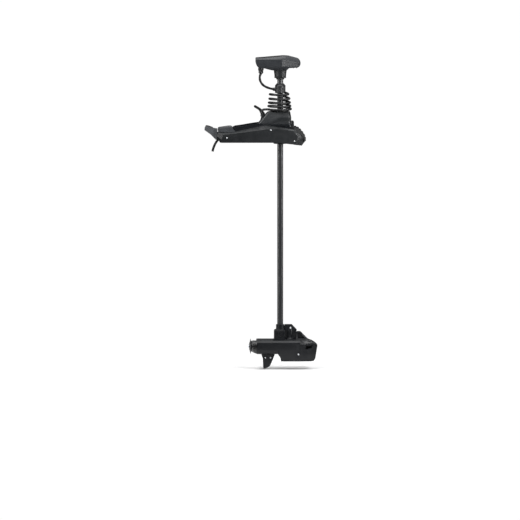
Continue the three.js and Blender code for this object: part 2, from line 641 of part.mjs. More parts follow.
// ten-sided outside, round bore
const headSocket = cut(lathe(SOCKET, 10), rod('z', SHAFT_HOLE_R, [380, 450], [0, 0], 24));
part('head_socket', headSocket, CHARCOAL, { roughness: 0.55 });
part('seal_ring', ring(SHAFT_HOLE_R, 25, [378, 386.6], 32), BLACK, { roughness: 0.7 });
part('cable_gland', lathe(GLAND_PROFILE).translate([...GLAND, 0]), BLACK, { roughness: 0.6 });
const LOOP_PATH = spline([
  [-117, 0, 458], [-117, 0, 440], [-117.2, 0, 414], [-123, 0, 399], [-122.5, 0, 374],
  [-111, 0, 351], [-93, 0, 335.5], [-62, 0, 323], [-40, 0, 318.6], [-33.2, 0, 317.6],
]);
part('loop_cable', tube(LOOP_PATH, CORD_R, 26), BLACK, { roughness: 0.6 });

// ---- lower bracket: outlines in [x, z] ------------------------------------------------
const BRACKET_NECK_R = 25.5;
const BOLT = [3, -1165];         // [x, z]
const BOLT_R = 8;
const BOLT_HEAD_R = 18;
const BRACKET = [
  [-43, -1150], [-38, -1146.5], [-22, -1143], [24, -1143], [31, -1148], [31.5, -1220],
  [-43, -1214],
];
const PLATE = [
  [26, -1113], [70, -1113], [101, -1146], [98, -1156], [70, -1158], [62, -1166.5],
  [54, -1167.5], [33, -1154], [32, -1146], [26, -1140],
];
const PLATE_CORE = [[31.9, -1143], [70, -1143], [95.4, -1154], [95.4, -1204], [31.9, -1204]];
const motorSpace = rod('x', MOTOR_R + GAP, [-170, 121.4], [0, MOTOR_Z], 28);

function lowerBracket() {
  return largest(cut(
    union(
      rod('z', BRACKET_NECK_R, [-1150, -1114], [0, 0], 24),
      extrudeY(BRACKET, across(34), 4),
      rod('z', 33, [-1222, -1190], [-4, 0], 24),
    ),
    rod('z', SHAFT_HOLE_R, [-1160, -1100], [0, 0], 24),
    motorSpace,
    rod('y', BOLT_R + FIT, across(60), BOLT, 24),
    rod('z', 12, [-1230, -1150]),
    pair(30, 60, (y) => rod('y', BOLT_HEAD_R + FIT, y, BOLT, 28)),
  ));
}
part('lower_bracket', lowerBracket(), CHARCOAL, { roughness: 0.5, metalness: 0.2 });
const bracketBolt = cut(
  union(
    rod('y', BOLT_R, across(38), BOLT, 24),
    pair(30.4, 38, (y) => rod('y', BOLT_HEAD_R, y, BOLT, 28)),
  ),
  rod('z', SHAFT_HOLE_R, [-1160.5, -1100], [0, 0], 24),
);
part('bracket_bolt', bracketBolt, SATIN, { roughness: 0.4, metalness: 0.6 });

function bracketPlate() {
  return largest(cut(
    union(
      extrudeY(PLATE, across(11), 2),
      extrudeY(PLATE_CORE, across(9)),
      rod('z', 18, [-1206, -1164], [60, 0], 24),
    ),
    motorSpace,
    rod('y', 6.4, [-12, -9], [63, -1135]),
    rod('z', BRACKET_NECK_R + GAP, [-1152, -1100], [0, 0], 32),
    box([0, 31.9], across(40), [-1230, -1142.6]),
  ));
}
part('bracket_plate', bracketPlate(), CHARCOAL, { roughness: 0.5, metalness: 0.2 });

// ---- motor: turned profiles in [radius, x] --------------------------------------------
const STATOR_R = 42.6;
const END_BELL = [
  [7.5, -166], [37, -166], [42, -155], [46, -145.5], [MOTOR_R, -141.3], [42.7, -141.3],
  [42.7, -134], [38, -134], [38, -146], [15, -154], [7.5, -154],
];
const motorRod = (radius, x, sides) => rod('x', radius, x, [0, MOTOR_Z], sides);
const motorHousing = cut(
  motorRod(MOTOR_R, [-141, 121], 28),
  motorRod(43, [-150, 115], 28),
  rod('z', 11, [-1222, -1190]),
);
part('motor_housing', motorHousing, CHARCOAL, { roughness: 0.4, metalness: 0.5 });
const endBell = onMotorAxis(lathe(END_BELL, 28));
part('rear_end_bell', endBell, CHARCOAL, { roughness: 0.4, metalness: 0.5 });
const stator = onMotorAxis(ring(29, STATOR_R, [-90, 60]));
part('stator', stator, { color: 0x9a5a2c }, { roughness: 0.5, metalness: 1 });
const frontBearing = union(
  onMotorAxis(ring(6, 20, [96, 104])),
  cut(motorRod(STATOR_R, [104, 110], 24), motorRod(12, [100, 112], 20)),
);
part('front_bearing', frontBearing, STEEL, { roughness: 0.3 });

// ---- rotor and propeller --------------------------------------------------------------
const ROTOR_SHAFT_R = 5;
const PROP_BORE = ROTOR_SHAFT_R + GAP;
const PROP_X = -177;             // centre plane of the blades
const PROP_R = 128;
const BLADE_TWIST = 0.17;        // radians about the blade's own length
const HUB = [
  [PROP_BORE, -166.8], [35.5, -166.8], [35, -170], [31, -179], [25, -186], [22, -188],
  [PROP_BORE, -188],
];
// [distance from the motor axis, offset along the chord]
const BLADE = [
  [14, -15], [30, -27], [60, -41], [92, -46], [114, -40], [126, -22], [PROP_R, 0], [124, 22],
  [110, 38], [88, 45], [58, 40], [30, 25], [14, 15],
];
function propeller() {
  // stood up so the length runs along +Y and the chord along Z, then twisted
  const blade = extrudeZ(BLADE, across(2))
    .rotate([90, 0, 90])
    .rotate([0, THREE.MathUtils.radToDeg(BLADE_TWIST), 0]);
  const blades = [blade.rotate([180, 0, 0]), blade].map((b) => b.translate([PROP_X, 0, MOTOR_Z]));
  const hub = onMotorAxis(lathe(HUB, 28));
  return cut(union(hub, ...blades), motorRod(PROP_BORE, [-210, -150], 24));
}
const rotor = union(motorRod(ROTOR_SHAFT_R, [-197, 102], 20), motorRod(27.5, [-85, 55], 24));
part('rotor_shaft', rotor, STEEL, { roughness: 0.35 });
part('propeller', propeller(), BLACK, { roughness: 0.45 });
const propNut = cut(motorRod(9, [-194, -188.4], 6), motorRod(PROP_BORE, [-200, -180], 24));
part('prop_nut', propNut, STEEL, { roughness: 0.3 });

// ---- skeg and nose: outlines in [x, z] ------------------------------------------------
const SKEG = [
  [-116, -1288], [-113, -1300], [-106, -1324], [-105, -1350], [-103, -1386], [-99, -1388],
  [-66, -1373], [-60, -1366], [-34, -1304], [-32, -1288],
];
const SKEG_FOOT = [[-116, -1288], [-112, -1302], [-40, -1302], [-32, -1288]];
const NOSE = [
  [-30, -1296], [-24, -1306], [-8, -1318], [5, -1326], [6, -1337], [194, -1337], [213, -1324],
  [226, -1246], [225, -1240], [167, -1203], [124, -1157.5], [103, -1157], [98, -1163],
  [96, -1200], [96, -1296],
];
const NOSE_CRADLE = [
  [-13, -1262], [97, -1262], [97, -1337], [6, -1337], [3, -1325], [-13, -1297],
];
const NOSE_KEEL = [[-30, -1292], [-26, -1302], [8, -1320], [60, -1320], [60, -1292]];
const NOSE_RECESS = [[151, -1263], [148, -1238], [196, -1238], [200, -1263]];
const NOSE_HALF = 46.5;

function skeg() {
  const screwSeats = [-90, -59].map((x) => pair(2.6, 6, (y) => rod('y', 5.6, y, [x, -1318])));
  return largest(cut(
    union(extrudeY(SKEG, across(4)), extrudeY(SKEG_FOOT, across(10), 1.5)),
    motorSpace,
    ...screwSeats,
  ));
}
part('skeg', skeg(), CHARCOAL, { roughness: 0.45 });

function noseShell() {
  return largest(cut(
    union(
      extrudeY(NOSE, across(NOSE_HALF), 5),
      extrudeY(NOSE_CRADLE, across(NOSE_HALF), 3),
      extrudeY(NOSE_KEEL, across(16)),
    ),
    motorSpace,
    box([-60, 96.2], across(60), [-1250, -1140]),
    // moulded side recesses, screw seats and sensor window
    pair(37, 60, (y) => extrudeY(NOSE_RECESS, y)),
    pair(44, 50, (y) => rod('y', 4.6, y, [111, -1293])),
    box([40, 178], across(26), [-1340, -1312]),
  ));
}
part('nose_shell', noseShell(), CHARCOAL, { roughness: 0.45 });
const transducer = box([40 + FIT, 178 - FIT], across(26 - FIT), [-1336.5, -1312 - FIT]);
part('transducer_element', transducer, { color: 0x101113 }, { roughness: 0.3 });

export default root;
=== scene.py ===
# An electric trolling motor on its deck mount: control head, coiled cord, steering servo,
# mount with foot pedal, shaft, and the lower unit with its propeller.
# The shaft stands along Z, the nose of the lower unit points to +X and the propeller to -X.
# The near side is -Y, where the camera stands. Pieces are laid out in millimetres:
# X and Y from the shaft axis, Z from the deck.
import math
from contextlib import contextmanager

import bpy
import bmesh
from mathutils import Matrix, Vector, kdtree


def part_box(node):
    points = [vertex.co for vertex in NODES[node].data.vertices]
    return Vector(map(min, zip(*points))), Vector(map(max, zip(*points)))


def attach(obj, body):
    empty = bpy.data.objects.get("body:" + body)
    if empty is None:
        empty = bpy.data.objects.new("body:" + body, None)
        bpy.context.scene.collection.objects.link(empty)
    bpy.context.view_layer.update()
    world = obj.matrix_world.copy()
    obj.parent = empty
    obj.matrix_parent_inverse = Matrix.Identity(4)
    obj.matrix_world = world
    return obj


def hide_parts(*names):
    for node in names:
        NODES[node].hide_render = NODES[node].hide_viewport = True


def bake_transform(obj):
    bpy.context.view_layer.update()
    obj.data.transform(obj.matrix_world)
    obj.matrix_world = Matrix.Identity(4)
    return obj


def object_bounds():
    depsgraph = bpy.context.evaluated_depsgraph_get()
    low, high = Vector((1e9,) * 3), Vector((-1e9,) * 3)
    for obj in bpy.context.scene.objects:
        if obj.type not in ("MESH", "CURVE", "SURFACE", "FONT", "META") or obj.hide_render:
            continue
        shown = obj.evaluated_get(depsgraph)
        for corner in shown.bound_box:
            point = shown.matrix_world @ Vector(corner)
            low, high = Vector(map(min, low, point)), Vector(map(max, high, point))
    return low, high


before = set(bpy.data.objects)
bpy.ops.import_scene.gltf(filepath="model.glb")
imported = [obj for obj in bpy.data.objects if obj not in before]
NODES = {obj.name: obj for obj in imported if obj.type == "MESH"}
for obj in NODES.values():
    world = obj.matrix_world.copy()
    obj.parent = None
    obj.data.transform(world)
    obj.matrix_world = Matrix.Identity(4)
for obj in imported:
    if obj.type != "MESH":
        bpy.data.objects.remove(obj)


def corners(box):
    return [[float(c) for c in box[0]], [float(c) for c in box[1]]]


CAD_BOX = corners(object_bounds())
TUBE_LOW, TUBE_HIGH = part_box("shaft_tube")
SHAFT_X = (TUBE_LOW.x + TUBE_HIGH.x) / 2
TAU = 2 * math.pi
SIDES = ((-1, "near"), (1, "far"))

TUBE_HOLE = 19.3          # radius of the holes that take the shaft tube
HEAD_CABLE_X = -117
COLLAR_BOSS_Z = 317.6
MOTOR_Z = -1248.0         # axis of the motor and the propeller


def spot(x, y, z):
    """a point in metres from a place in millimetres"""
    return Vector((SHAFT_X + x / 1000.0, y / 1000.0, z / 1000.0))


def span(side, inner, outer):
    """a range across Y on one side of the boat, lower end first"""
    return sorted((side * inner, side * outer))


def wrap(angle):
    return (angle + math.pi) % TAU - math.pi


def smooth_step(t):
    t = max(0.0, min(1.0, t))
    return t * t * (3 - 2 * t)


# ---------------------------------------------------------------- mesh tools
@contextmanager
def editing(part):
    edit = bmesh.new()
    edit.from_mesh(part.data)
    yield edit
    edit.to_mesh(part.data)
    edit.free()


def link_mesh(name, mesh):
    part = bpy.data.objects.new(name, mesh)
    bpy.context.scene.collection.objects.link(part)
    return part


def from_bmesh(name, edit):
    mesh = bpy.data.meshes.new(name)
    edit.to_mesh(mesh)
    edit.free()
    return link_mesh(name, mesh)


def shade_smooth(part):
    polygons = part.data.polygons
    polygons.foreach_set("use_smooth", [True] * len(polygons))


def fix_normals(part):
    with editing(part) as edit:
        bmesh.ops.remove_doubles(edit, verts=edit.verts, dist=1e-6)
        bmesh.ops.recalc_face_normals(edit, faces=edit.faces)
    part.data.update()


def new_object(name, verts, faces, smooth=True):
    mesh = bpy.data.meshes.new(name)
    mesh.from_pydata([tuple(v) for v in verts], [], faces)
    mesh.validate()
    part = link_mesh(name, mesh)
    fix_normals(part)
    if smooth:
        shade_smooth(part)
    return part


def drop(part):
    mesh = part.data
    bpy.data.objects.remove(part)
    if mesh.users == 0:
        bpy.data.meshes.remove(mesh)


def add_modifier(part, name, kind, **settings):
    modifier = part.modifiers.new(name, kind)
    for key, value in settings.items():
        setattr(modifier, key, value)


def apply_modifiers(part):
    bpy.context.view_layer.update()
    graph = bpy.context.evaluated_depsgraph_get()
    mesh = bpy.data.meshes.new_from_object(part.evaluated_get(graph),
                                           preserve_all_data_layers=True, depsgraph=graph)
    old = part.data
    part.modifiers.clear()
    part.data = mesh
    if old.users == 0:
        bpy.data.meshes.remove(old)


def bevel(part, width, segs, angle):
    """rounds edges sharper than angle (degrees) by width (mm)"""
    add_modifier(part, "edge", "BEVEL", width=width / 1000.0, segments=segs,
                 limit_method="ANGLE", angle_limit=math.radians(angle),
                 use_clamp_overlap=True, miter_outer="MITER_ARC", harden_normals=False)
    add_modifier(part, "normals", "WEIGHTED_NORMAL", keep_sharp=False, weight=80)
    shade_smooth(part)
    apply_modifiers(part)
    return part


def boolean(part, tools, operation):
    """uses up the tools one by one, then tidies the mesh once"""
    for tool in tools:
        add_modifier(part, "cut", "BOOLEAN", operation=operation, solver="EXACT", object=tool)
        apply_modifiers(part)
        drop(tool)
    with editing(part) as edit:
        bmesh.ops.remove_doubles(edit, verts=edit.verts, dist=2e-6)
        bmesh.ops.dissolve_degenerate(edit, edges=edit.edges, dist=1e-6)
    return part


def cut(part, *tools):
    return boolean(part, tools, "DIFFERENCE")


def join(part, *tools):
    return boolean(part, tools, "UNION")


def dissolve_flat(edit, angle):
    bmesh.ops.dissolve_limit(edit, angle_limit=math.radians(angle),
                             use_dissolve_boundaries=False, verts=edit.verts, edges=edit.edges)


def flatten(part, angle):
    with editing(part) as edit:
        dissolve_flat(edit, angle)


def crease(part, angle):
    """smooth shading, kept sharp across edges of angle degrees or more"""
    shade_smooth(part)
    with editing(part) as edit:
        for edge in edit.edges:
            if len(edge.link_faces) == 2:
                edge.smooth = edge.calc_face_angle(0) < math.radians(angle)
    return part


def flip_y(part):
    for vertex in part.data.vertices:
        vertex.co.y = -vertex.co.y
    part.data.flip_normals()


def slice_mesh(part, xs, zs):
    """splits the faces along planes across X and Z, so they can be bent smoothly"""
    planes = [(spot(x, 0, 0), (1, 0, 0)) for x in xs] + [(spot(0, 0, z), (0, 0, 1)) for z in zs]
    with editing(part) as edit:
        for place, normal in planes:
            bmesh.ops.bisect_plane(edit, geom=edit.verts[:] + edit.edges[:] + edit.faces[:],
                                   dist=1e-6, plane_co=place, plane_no=normal)


# ---------------------------------------------------------------- shapes
def rectangle(u0, u1, v0, v1):
    return [(u0, v0), (u1, v0), (u1, v1), (u0, v1)]


def rounded(points, radius, segs=5):
    """a 2D outline with its corners rounded, by one radius or one per corner"""
    count = len(points)
    radii = radius if isinstance(radius, (list, tuple)) else [radius] * count
    outline = []
    for i in range(count):
        corner = Vector(points[i])
        back, ahead = Vector(points[i - 1]) - corner, Vector(points[(i + 1) % count]) - corner
        back_length, ahead_length = back.length, ahead.length
        back.normalize()
        ahead.normalize()
        angle = math.acos(max(-1, min(1, back.dot(ahead))))
        if radii[i] <= 0.01 or angle > math.radians(172):
            outline.append((corner.x, corner.y))
            continue
        reach = min(radii[i] / math.tan(angle / 2), 0.48 * back_length, 0.48 * ahead_length)
        start, end = corner + back * reach, corner + ahead * reach
        for k in range(segs + 1):
            s = k / segs
            point = (1 - s) ** 2 * start + 2 * s * (1 - s) * corner + s * s * end
            outline.append((point.x, point.y))
    return outline


def prism(name, outline, y0, y1, radii=None, segs=5):
    """a side outline of (X, Z), rounded if radii are given, between two Y planes"""
    if radii is not None:
        outline = rounded(outline, radii, segs)
    n = len(outline)
    verts = [spot(x, y, z) for y in (y0, y1) for x, z in outline]
    faces = [tuple(range(n)), tuple(range(2 * n - 1, n - 1, -1))]
    faces += [(i, i + n, (i + 1) % n + n, (i + 1) % n) for i in range(n)]
    return new_object(name, verts, faces)


def block(x0, x1, y0, y1, z0, z1):
    return prism("cut", rectangle(x0, x1, z0, z1), y0, y1)


def hull(name, points):
    edit = bmesh.new()
    for point in points:
        edit.verts.new(spot(*point))
    bmesh.ops.convex_hull(edit, input=edit.verts)
    loose = [v for v in edit.verts if not v.link_faces]
    bmesh.ops.delete(edit, geom=loose, context="VERTS")
    dissolve_flat(edit, 1.0)
    bmesh.ops.recalc_face_normals(edit, faces=edit.faces)
    return from_bmesh(name, edit)


def on_axis_spot(axis, at, u, v, height):
    offset = {"x": (height, u, v), "y": (u, height, v), "z": (u, v, height)}[axis]
    return spot(*(a + b for a, b in zip(at, offset)))


def turned(name, profile, axis="z", at=(0, 0, 0), sides=64, shape=None):
    """a profile of (radius, height) turned about an axis; a profile that doesn't start
    and end on the axis is closed on itself. shape(angle, radius, height) gives a new radius"""
    solid = profile[0][0] < 1e-6 and profile[-1][0] < 1e-6
    verts, rings = [], []
    for radius, height in profile:
        if radius < 1e-6:
            rings.append([len(verts)])
            verts.append(on_axis_spot(axis, at, 0, 0, height))
            continue
        rings.append(list(range(len(verts), len(verts) + sides)))
        for k in range(sides):
            angle = TAU * k / sides
            out = shape(angle, radius, height) if shape else radius
            verts.append(on_axis_spot(axis, at, out * math.cos(angle), out * math.sin(angle),
                                      height))
    faces = []
    for low, high in zip(rings, rings[1:] + ([] if solid else rings[:1])):
        for k in range(sides):
            j = (k + 1) % sides
            if len(low) == 1:
                faces.append((low[0], high[j], high[k]))
            elif len(high) == 1:
                faces.append((low[k], low[j], high[0]))
            else:
                faces.append((low[k], low[j], high[j], high[k]))
    return new_object(name, verts, faces)


def drill(axis, radius, start, end, sides, at=(0, 0, 0)):
    """a plain cylinder, used to cut or to join"""
    return turned("cut", [(0, start), (radius, start), (radius, end), (0, end)], axis, at, sides)


def polygonal(corner_count, turn, soft, hole=0):
    """a shape for turned: a soft-cornered polygon, except at or within the hole radius"""
    def shape(angle, radius, height):
        if radius <= hole:
            return radius
        local = wrap((angle - turn) * corner_count) / corner_count
        size = (1 + math.cos(math.pi / corner_count)) / 2
        return radius * (soft + (1 - soft) / math.cos(local) * size)
    return shape


def grooved(count, depth, power, hole, low=-math.inf, high=math.inf):
    """a shape for turned: grooves outside the hole radius, between two heights"""
    def shape(angle, radius, height):
        if radius > hole and low < height < high:
            return radius - depth * max(0.0, math.cos(count * angle)) ** power
        return radius
    return shape


def catmull(points, per):
    """a centripetal curve through the points, with per steps from one to the next"""
    points = [Vector(p) for p in points]
    points = [2 * points[0] - points[1]] + points + [2 * points[-1] - points[-2]]
    curve = []
    for i in range(1, len(points) - 2):
        quad = points[i - 1:i + 3]
        knots = [0.0]
        for a, b in zip(quad, quad[1:]):
            knots.append(knots[-1] + (b - a).length ** 0.5)
        for k in range(per):
            t = knots[1] + (knots[2] - knots[1]) * k / per

            def between(a, b, start, end):
                return a * ((end - t) / (end - start)) + b * ((t - start) / (end - start))

            level = quad
            for gap in (1, 2):
                level = [between(level[j], level[j + 1], knots[j], knots[j + gap])
                         for j in range(len(level) - 1)]
            curve.append(between(level[0], level[1], knots[1], knots[2]))
    curve.append(points[-2])
    return curve


def tube_faces(ring_count, sides):
    """sides and end caps of a stack of rings"""
    faces = []
    for i in range(ring_count - 1):
        for k in range(sides):
            j = (k + 1) % sides
            faces.append((i * sides + k, i * sides + j, (i + 1) * sides + j,
                          (i + 1) * sides + k))
    last = (ring_count - 1) * sides
    return faces + [tuple(range(sides)), tuple(range(last + sides - 1, last - 1, -1))]


def swept(name, path, radius, sides, shape=None):
    """a round section along a path; shape(angle, length) scales the radius"""
    path = [Vector(p) for p in path]
    tangents = []
    for i in range(len(path)):
        before, after = path[max(0, i - 1)], path[min(len(path) - 1, i + 1)]
        tangents.append((after - before).normalized())
    up = Vector((0, 0, 1))
    if abs(tangents[0].dot(up)) >= 0.95:
        up = Vector((1, 0, 0))
    across = tangents[0].cross(up).normalized()
    verts, length = [], 0.0
    for i, centre in enumerate(path):
        if i:
            length += (centre - path[i - 1]).length
            across = (across - tangents[i] * across.dot(tangents[i])).normalized()
        third = tangents[i].cross(across)
        for k in range(sides):
            angle = TAU * k / sides
            out = radius * (shape(angle, length) if shape else 1.0)
            verts.append(spot(*(centre + across * (out * math.cos(angle))
                                + third * (out * math.sin(angle)))))
    return new_object(name, verts, tube_faces(len(path), sides))


def loft(name, sections, smooth=True):
    """closed sections with the same number of points, capped at both ends"""
    verts = [spot(*p) for section in sections for p in section]
    return new_object(name, verts, tube_faces(len(sections), len(sections[0])), smooth)


def merge(name, parts):
    """one object made of several closed shells"""
    edit = bmesh.new()
    for part in parts:
        edit.from_mesh(part.data)
    for part in parts:
        drop(part)
    merged = from_bmesh(name, edit)
    shade_smooth(merged)
    return merged


# ---------------------------------------------------------------- material tools
MATERIALS = {}


class Graph:
    """short ways to fill a shader tree, which is emptied first"""

    def __init__(self, tree):
        self.tree = tree
        tree.nodes.clear()

    def add(self, kind, inputs=None, **settings):
        """a node; inputs maps a socket's name or number to a link or a value"""
        node = self.tree.nodes.new(kind)
        for key, value in settings.items():
            setattr(node, key, value)
        for key, value in (inputs or {}).items():
            socket = node.inputs[key]
            if isinstance(value, bpy.types.NodeSocket):
                self.tree.links.new(value, socket)
            elif isinstance(value, tuple):
                # a colour gets its alpha here
                socket.default_value = value + (1.0,) * (len(socket.default_value) - len(value))
            else:
                socket.default_value = value
        return node

    def remap(self, value, source, target, **settings):
        """maps the source range to the target range, clamped"""
        return self.add("ShaderNodeMapRange", {
            "Value": value, "From Min": source[0], "From Max": source[1],
            "To Min": target[0], "To Max": target[1]}, clamp=True, **settings).outputs["Result"]

    def choose(self, factor, first, second):
        return self.add("ShaderNodeMixShader", {0: factor, 1: first, 2: second}).outputs[0]


class Material(Graph):
    def __init__(self, name):
        material = bpy.data.materials.new(name)
        MATERIALS[name] = material
        material.use_nodes = True
        super().__init__(material.node_tree)
        self.coord = self.add("ShaderNodeTexCoord").outputs["Object"]

    def surface(self, shader):
        self.add("ShaderNodeOutputMaterial", {"Surface": shader})

    def principled(self, inputs):
        self.surface(self.add("ShaderNodeBsdfPrincipled", inputs).outputs[0])

    def noise(self, scale, detail=3.0, rough=0.55, stretch=None):
        source = self.coord
        if stretch:
            source = self.add("ShaderNodeMapping",
                              {"Vector": source, "Scale": stretch}).outputs["Vector"]
        return self.add("ShaderNodeTexNoise", {"Scale": scale, "Detail": detail,
                        "Roughness": rough, "Vector": source}).outputs["Fac"]

    def voronoi(self, scale):
        return self.add("ShaderNodeTexVoronoi",
                        {"Scale": scale, "Vector": self.coord}).outputs["Distance"]

    def math(self, operation, a, b):
        return self.add("ShaderNodeMath", {0: a, 1: b}, operation=operation).outputs[0]

    def mix(self, factor, a, b):
        return self.add("ShaderNodeMix", {"Factor": factor, 6: a, 7: b},
                        data_type="RGBA").outputs[2]

    def edge(self, radius):
        """bright along outside edges, from the difference to a rounded normal"""
        soft = self.add("ShaderNodeBevel", {"Radius": radius}, samples=4)
        true = self.add("ShaderNodeNewGeometry")
        dot = self.add("ShaderNodeVectorMath", {0: soft.outputs["Normal"],
                       1: true.outputs["Normal"]}, operation="DOT_PRODUCT")
        return self.remap(dot.outputs["Value"], (0.995, 0.86), (0.0, 1.0))

    def bump(self, height, strength, distance, normal=None):
        inputs = {"Strength": strength, "Distance": distance, "Height": height}
        if normal is not None:
            inputs["Normal"] = normal
        return self.add("ShaderNodeBump", inputs).outputs["Normal"]


def linear(rgb):
    """linear colour from 8-bit sRGB"""
    return tuple((c / 255 / 12.92) if c / 255 <= 0.04045 else ((c / 255 + 0.055) / 1.055) ** 2.4
                 for c in rgb)


def tint(colour, factor, lift=0):
    return tuple(min(1, c * factor + lift) for c in colour)


def moulded(name, rgb, rough, grain, depth, wear, spread=0.18, spec=0.5, coat=0.0,
            metallic=0.0, flow=None):
    """moulded or painted skin: fine grain, cloudy gloss, slightly rubbed edges"""
    nodes = Material(name)
    base = linear(rgb)
    cloud = nodes.noise(scale=11, detail=4, rough=0.6)
    speck = nodes.noise(scale=260, detail=3, rough=0.6)
    tone = nodes.mix(nodes.remap(cloud, (0.3, 0.7), (0, 1)),
                     tint(base, 1 - spread), tint(base, 1 + spread, 0.001))
    tone = nodes.mix(nodes.remap(speck, (0.55, 0.8), (0, 0.14)), tone, tint(base, 1.5, 0.004))
    if wear:
        patchy = nodes.remap(nodes.noise(scale=55, detail=3, rough=0.6), (0.35, 0.7), (0.25, 1.0))
        mask = nodes.math("MULTIPLY", nodes.edge(radius=0.0012), patchy)
        mask = nodes.math("MULTIPLY", mask, wear)
        tone = nodes.mix(mask, tone, tint(base, 2.1, 0.012))
    gloss = nodes.remap(nodes.noise(scale=34, detail=4, rough=0.65), (0.25, 0.75),
                        (rough - 0.07, rough + 0.08))
    cells = nodes.voronoi(grain)
    fine = nodes.noise(scale=grain * 0.8, detail=2, rough=0.6)
    height = nodes.math("ADD", nodes.math("MULTIPLY", cells, 0.6),
                        nodes.math("MULTIPLY", fine, 0.7))
    normal = nodes.bump(height, strength=depth * 0.6, distance=0.00012)
    if flow:
        normal = nodes.bump(nodes.noise(scale=40, detail=2, rough=0.5, stretch=flow),
                            strength=0.12, distance=0.0006, normal=normal)
    nodes.principled({
        "Base Color": tone, "Roughness": gloss, "Normal": normal, "Metallic": metallic,
        "Specular IOR Level": spec, "Coat Weight": coat, "Coat Roughness": 0.22})


def brushed(name, rgb, rough, stretch, scale, depth=0.15, stain=0.25):
    """turned or rolled metal: fine brush lines, dull patches, bright edges"""
    nodes = Material(name)
    base = linear(rgb)
    patch = nodes.remap(nodes.noise(scale=45, detail=5, rough=0.6), (0.35, 0.7), (0, stain))
    tone = nodes.mix(patch, base, tint(base, 0.55))
    lines = nodes.noise(scale=scale, detail=3, rough=0.6, stretch=stretch)
    tone = nodes.mix(nodes.remap(lines, (0.3, 0.7), (0, 0.22)), tone, tint(base, 1.25))
    edge_wear = nodes.math("MULTIPLY", nodes.edge(radius=0.0008), 0.2)
    tone = nodes.mix(edge_wear, tone, tint(base, 1.4, 0.05))
    gloss = nodes.math("ADD", nodes.remap(lines, (0.3, 0.7), (rough - 0.08, rough + 0.1)),
                       nodes.math("MULTIPLY", patch, 0.3))
    nodes.principled({
        "Base Color": tone, "Roughness": gloss, "Metallic": 1.0,
        "Normal": nodes.bump(lines, strength=depth, distance=0.0001)})


def composite_tube(name):
    """long fibres along the shaft under a semi-gloss skin, with a faint veil"""
    nodes = Material(name)
    base = linear((24, 25, 27))
    fibre = nodes.noise(scale=420, detail=4, rough=0.6, stretch=(1, 1, 0.018))
    veil = nodes.noise(scale=900, detail=2, rough=0.5, stretch=(1, 1, 0.35))
    tone = nodes.mix(nodes.remap(fibre, (0.35, 0.7), (0, 1)),
                     tint(base, 0.75), tint(base, 1.5, 0.002))
    rub = nodes.remap(nodes.noise(scale=16, detail=4, rough=0.7, stretch=(1, 1, 0.25)),
                      (0.52, 0.75), (0, 0.35))
    tone = nodes.mix(rub, tone, linear((48, 49, 52)))
    gloss = nodes.remap(fibre, (0.3, 0.7), (0.32, 0.42))
    height = nodes.math("ADD", nodes.math("MULTIPLY", fibre, 0.8),
                        nodes.math("MULTIPLY", veil, 0.3))
    nodes.principled({
        "Base Color": tone, "Roughness": gloss,
        "Normal": nodes.bump(height, strength=0.07, distance=0.0001),
        "Coat Weight": 0.35, "Coat Roughness": 0.32})


def circuit(name):
    """green board with brick-like tracks and gold pads"""
    nodes = Material(name)
    tracks = nodes.add("ShaderNodeTexBrick", {
        "Scale": 260, "Mortar Size": 0.06, "Vector": nodes.coord}).outputs["Fac"]
    tone = nodes.mix(tracks, linear((24, 84, 46)), linear((46, 120, 70)))
    pads = nodes.remap(nodes.voronoi(scale=240), (0.16, 0.12), (0, 1))
    nodes.principled({
        "Base Color": nodes.mix(pads, tone, linear((206, 168, 84))),
        "Roughness": nodes.remap(nodes.noise(scale=120), (0.3, 0.7), (0.35, 0.6)),
        "Normal": nodes.bump(tracks, strength=0.3, distance=0.0001)})


def copper(name):
    """copper wire wound side by side"""
    nodes = Material(name)
    wire = nodes.noise(scale=700, detail=2, rough=0.5, stretch=(0.05, 1, 1))
    nodes.principled({
        "Base Color": nodes.mix(nodes.remap(wire, (0.3, 0.7), (0, 1)),
                                linear((96, 46, 20)), linear((196, 112, 58))),
        "Metallic": 0.85,
        "Roughness": nodes.remap(wire, (0.3, 0.7), (0.5, 0.3)),
        "Normal": nodes.bump(wire, strength=0.6, distance=0.0004)})


def dark_glass(name):
    """black glass with faint smears"""
    nodes = Material(name)
    smear = nodes.noise(scale=30, detail=5, rough=0.7, stretch=(1, 2.2, 1))
    nodes.principled({
        "Base Color": nodes.mix(nodes.remap(smear, (0.4, 0.75), (0, 1)),
                                linear((10, 11, 13)), linear((22, 24, 27))),
        "Roughness": nodes.remap(smear, (0.35, 0.7), (0.06, 0.24)),
        "Normal": nodes.bump(nodes.noise(scale=8, detail=2), strength=0.05, distance=0.0004),
        "Coat Weight": 1.0, "Coat Roughness": 0.03})


moulded("cover_plastic", (19, 21, 23), rough=0.40, grain=1300, depth=0.20, wear=0.42, spec=0.38)
moulded("satin_plastic", (32, 34, 36), rough=0.36, grain=1500, depth=0.14, wear=0.38, spec=0.42)
moulded("black_plastic", (15, 16, 17), rough=0.36, grain=1500, depth=0.26, wear=0.35)
moulded("cable_jacket", (12, 13, 15), rough=0.40, grain=2200, depth=0.10, wear=0.0,
        spread=0.14, spec=0.34)
moulded("pad_rubber", (17, 18, 19), rough=0.70, grain=900, depth=0.5, wear=0.25)
composite_tube("shaft_composite")
brushed("frame_alloy", (38, 40, 43), rough=0.45, stretch=(0.03, 1, 1), scale=320, depth=0.2)
brushed("cast_alloy", (112, 115, 119), rough=0.45, stretch=(1, 1, 1), scale=500, depth=0.35)
moulded("painted_alloy", (12, 14, 17), rough=0.36, grain=1900, depth=0.12, wear=0.35,
        spread=0.14, spec=0.28, coat=0.02)
brushed("stainless", (205, 207, 211), rough=0.24, stretch=(1, 0.04, 1), scale=700,
        depth=0.12, stain=0.18)
dark_glass("display_glass")
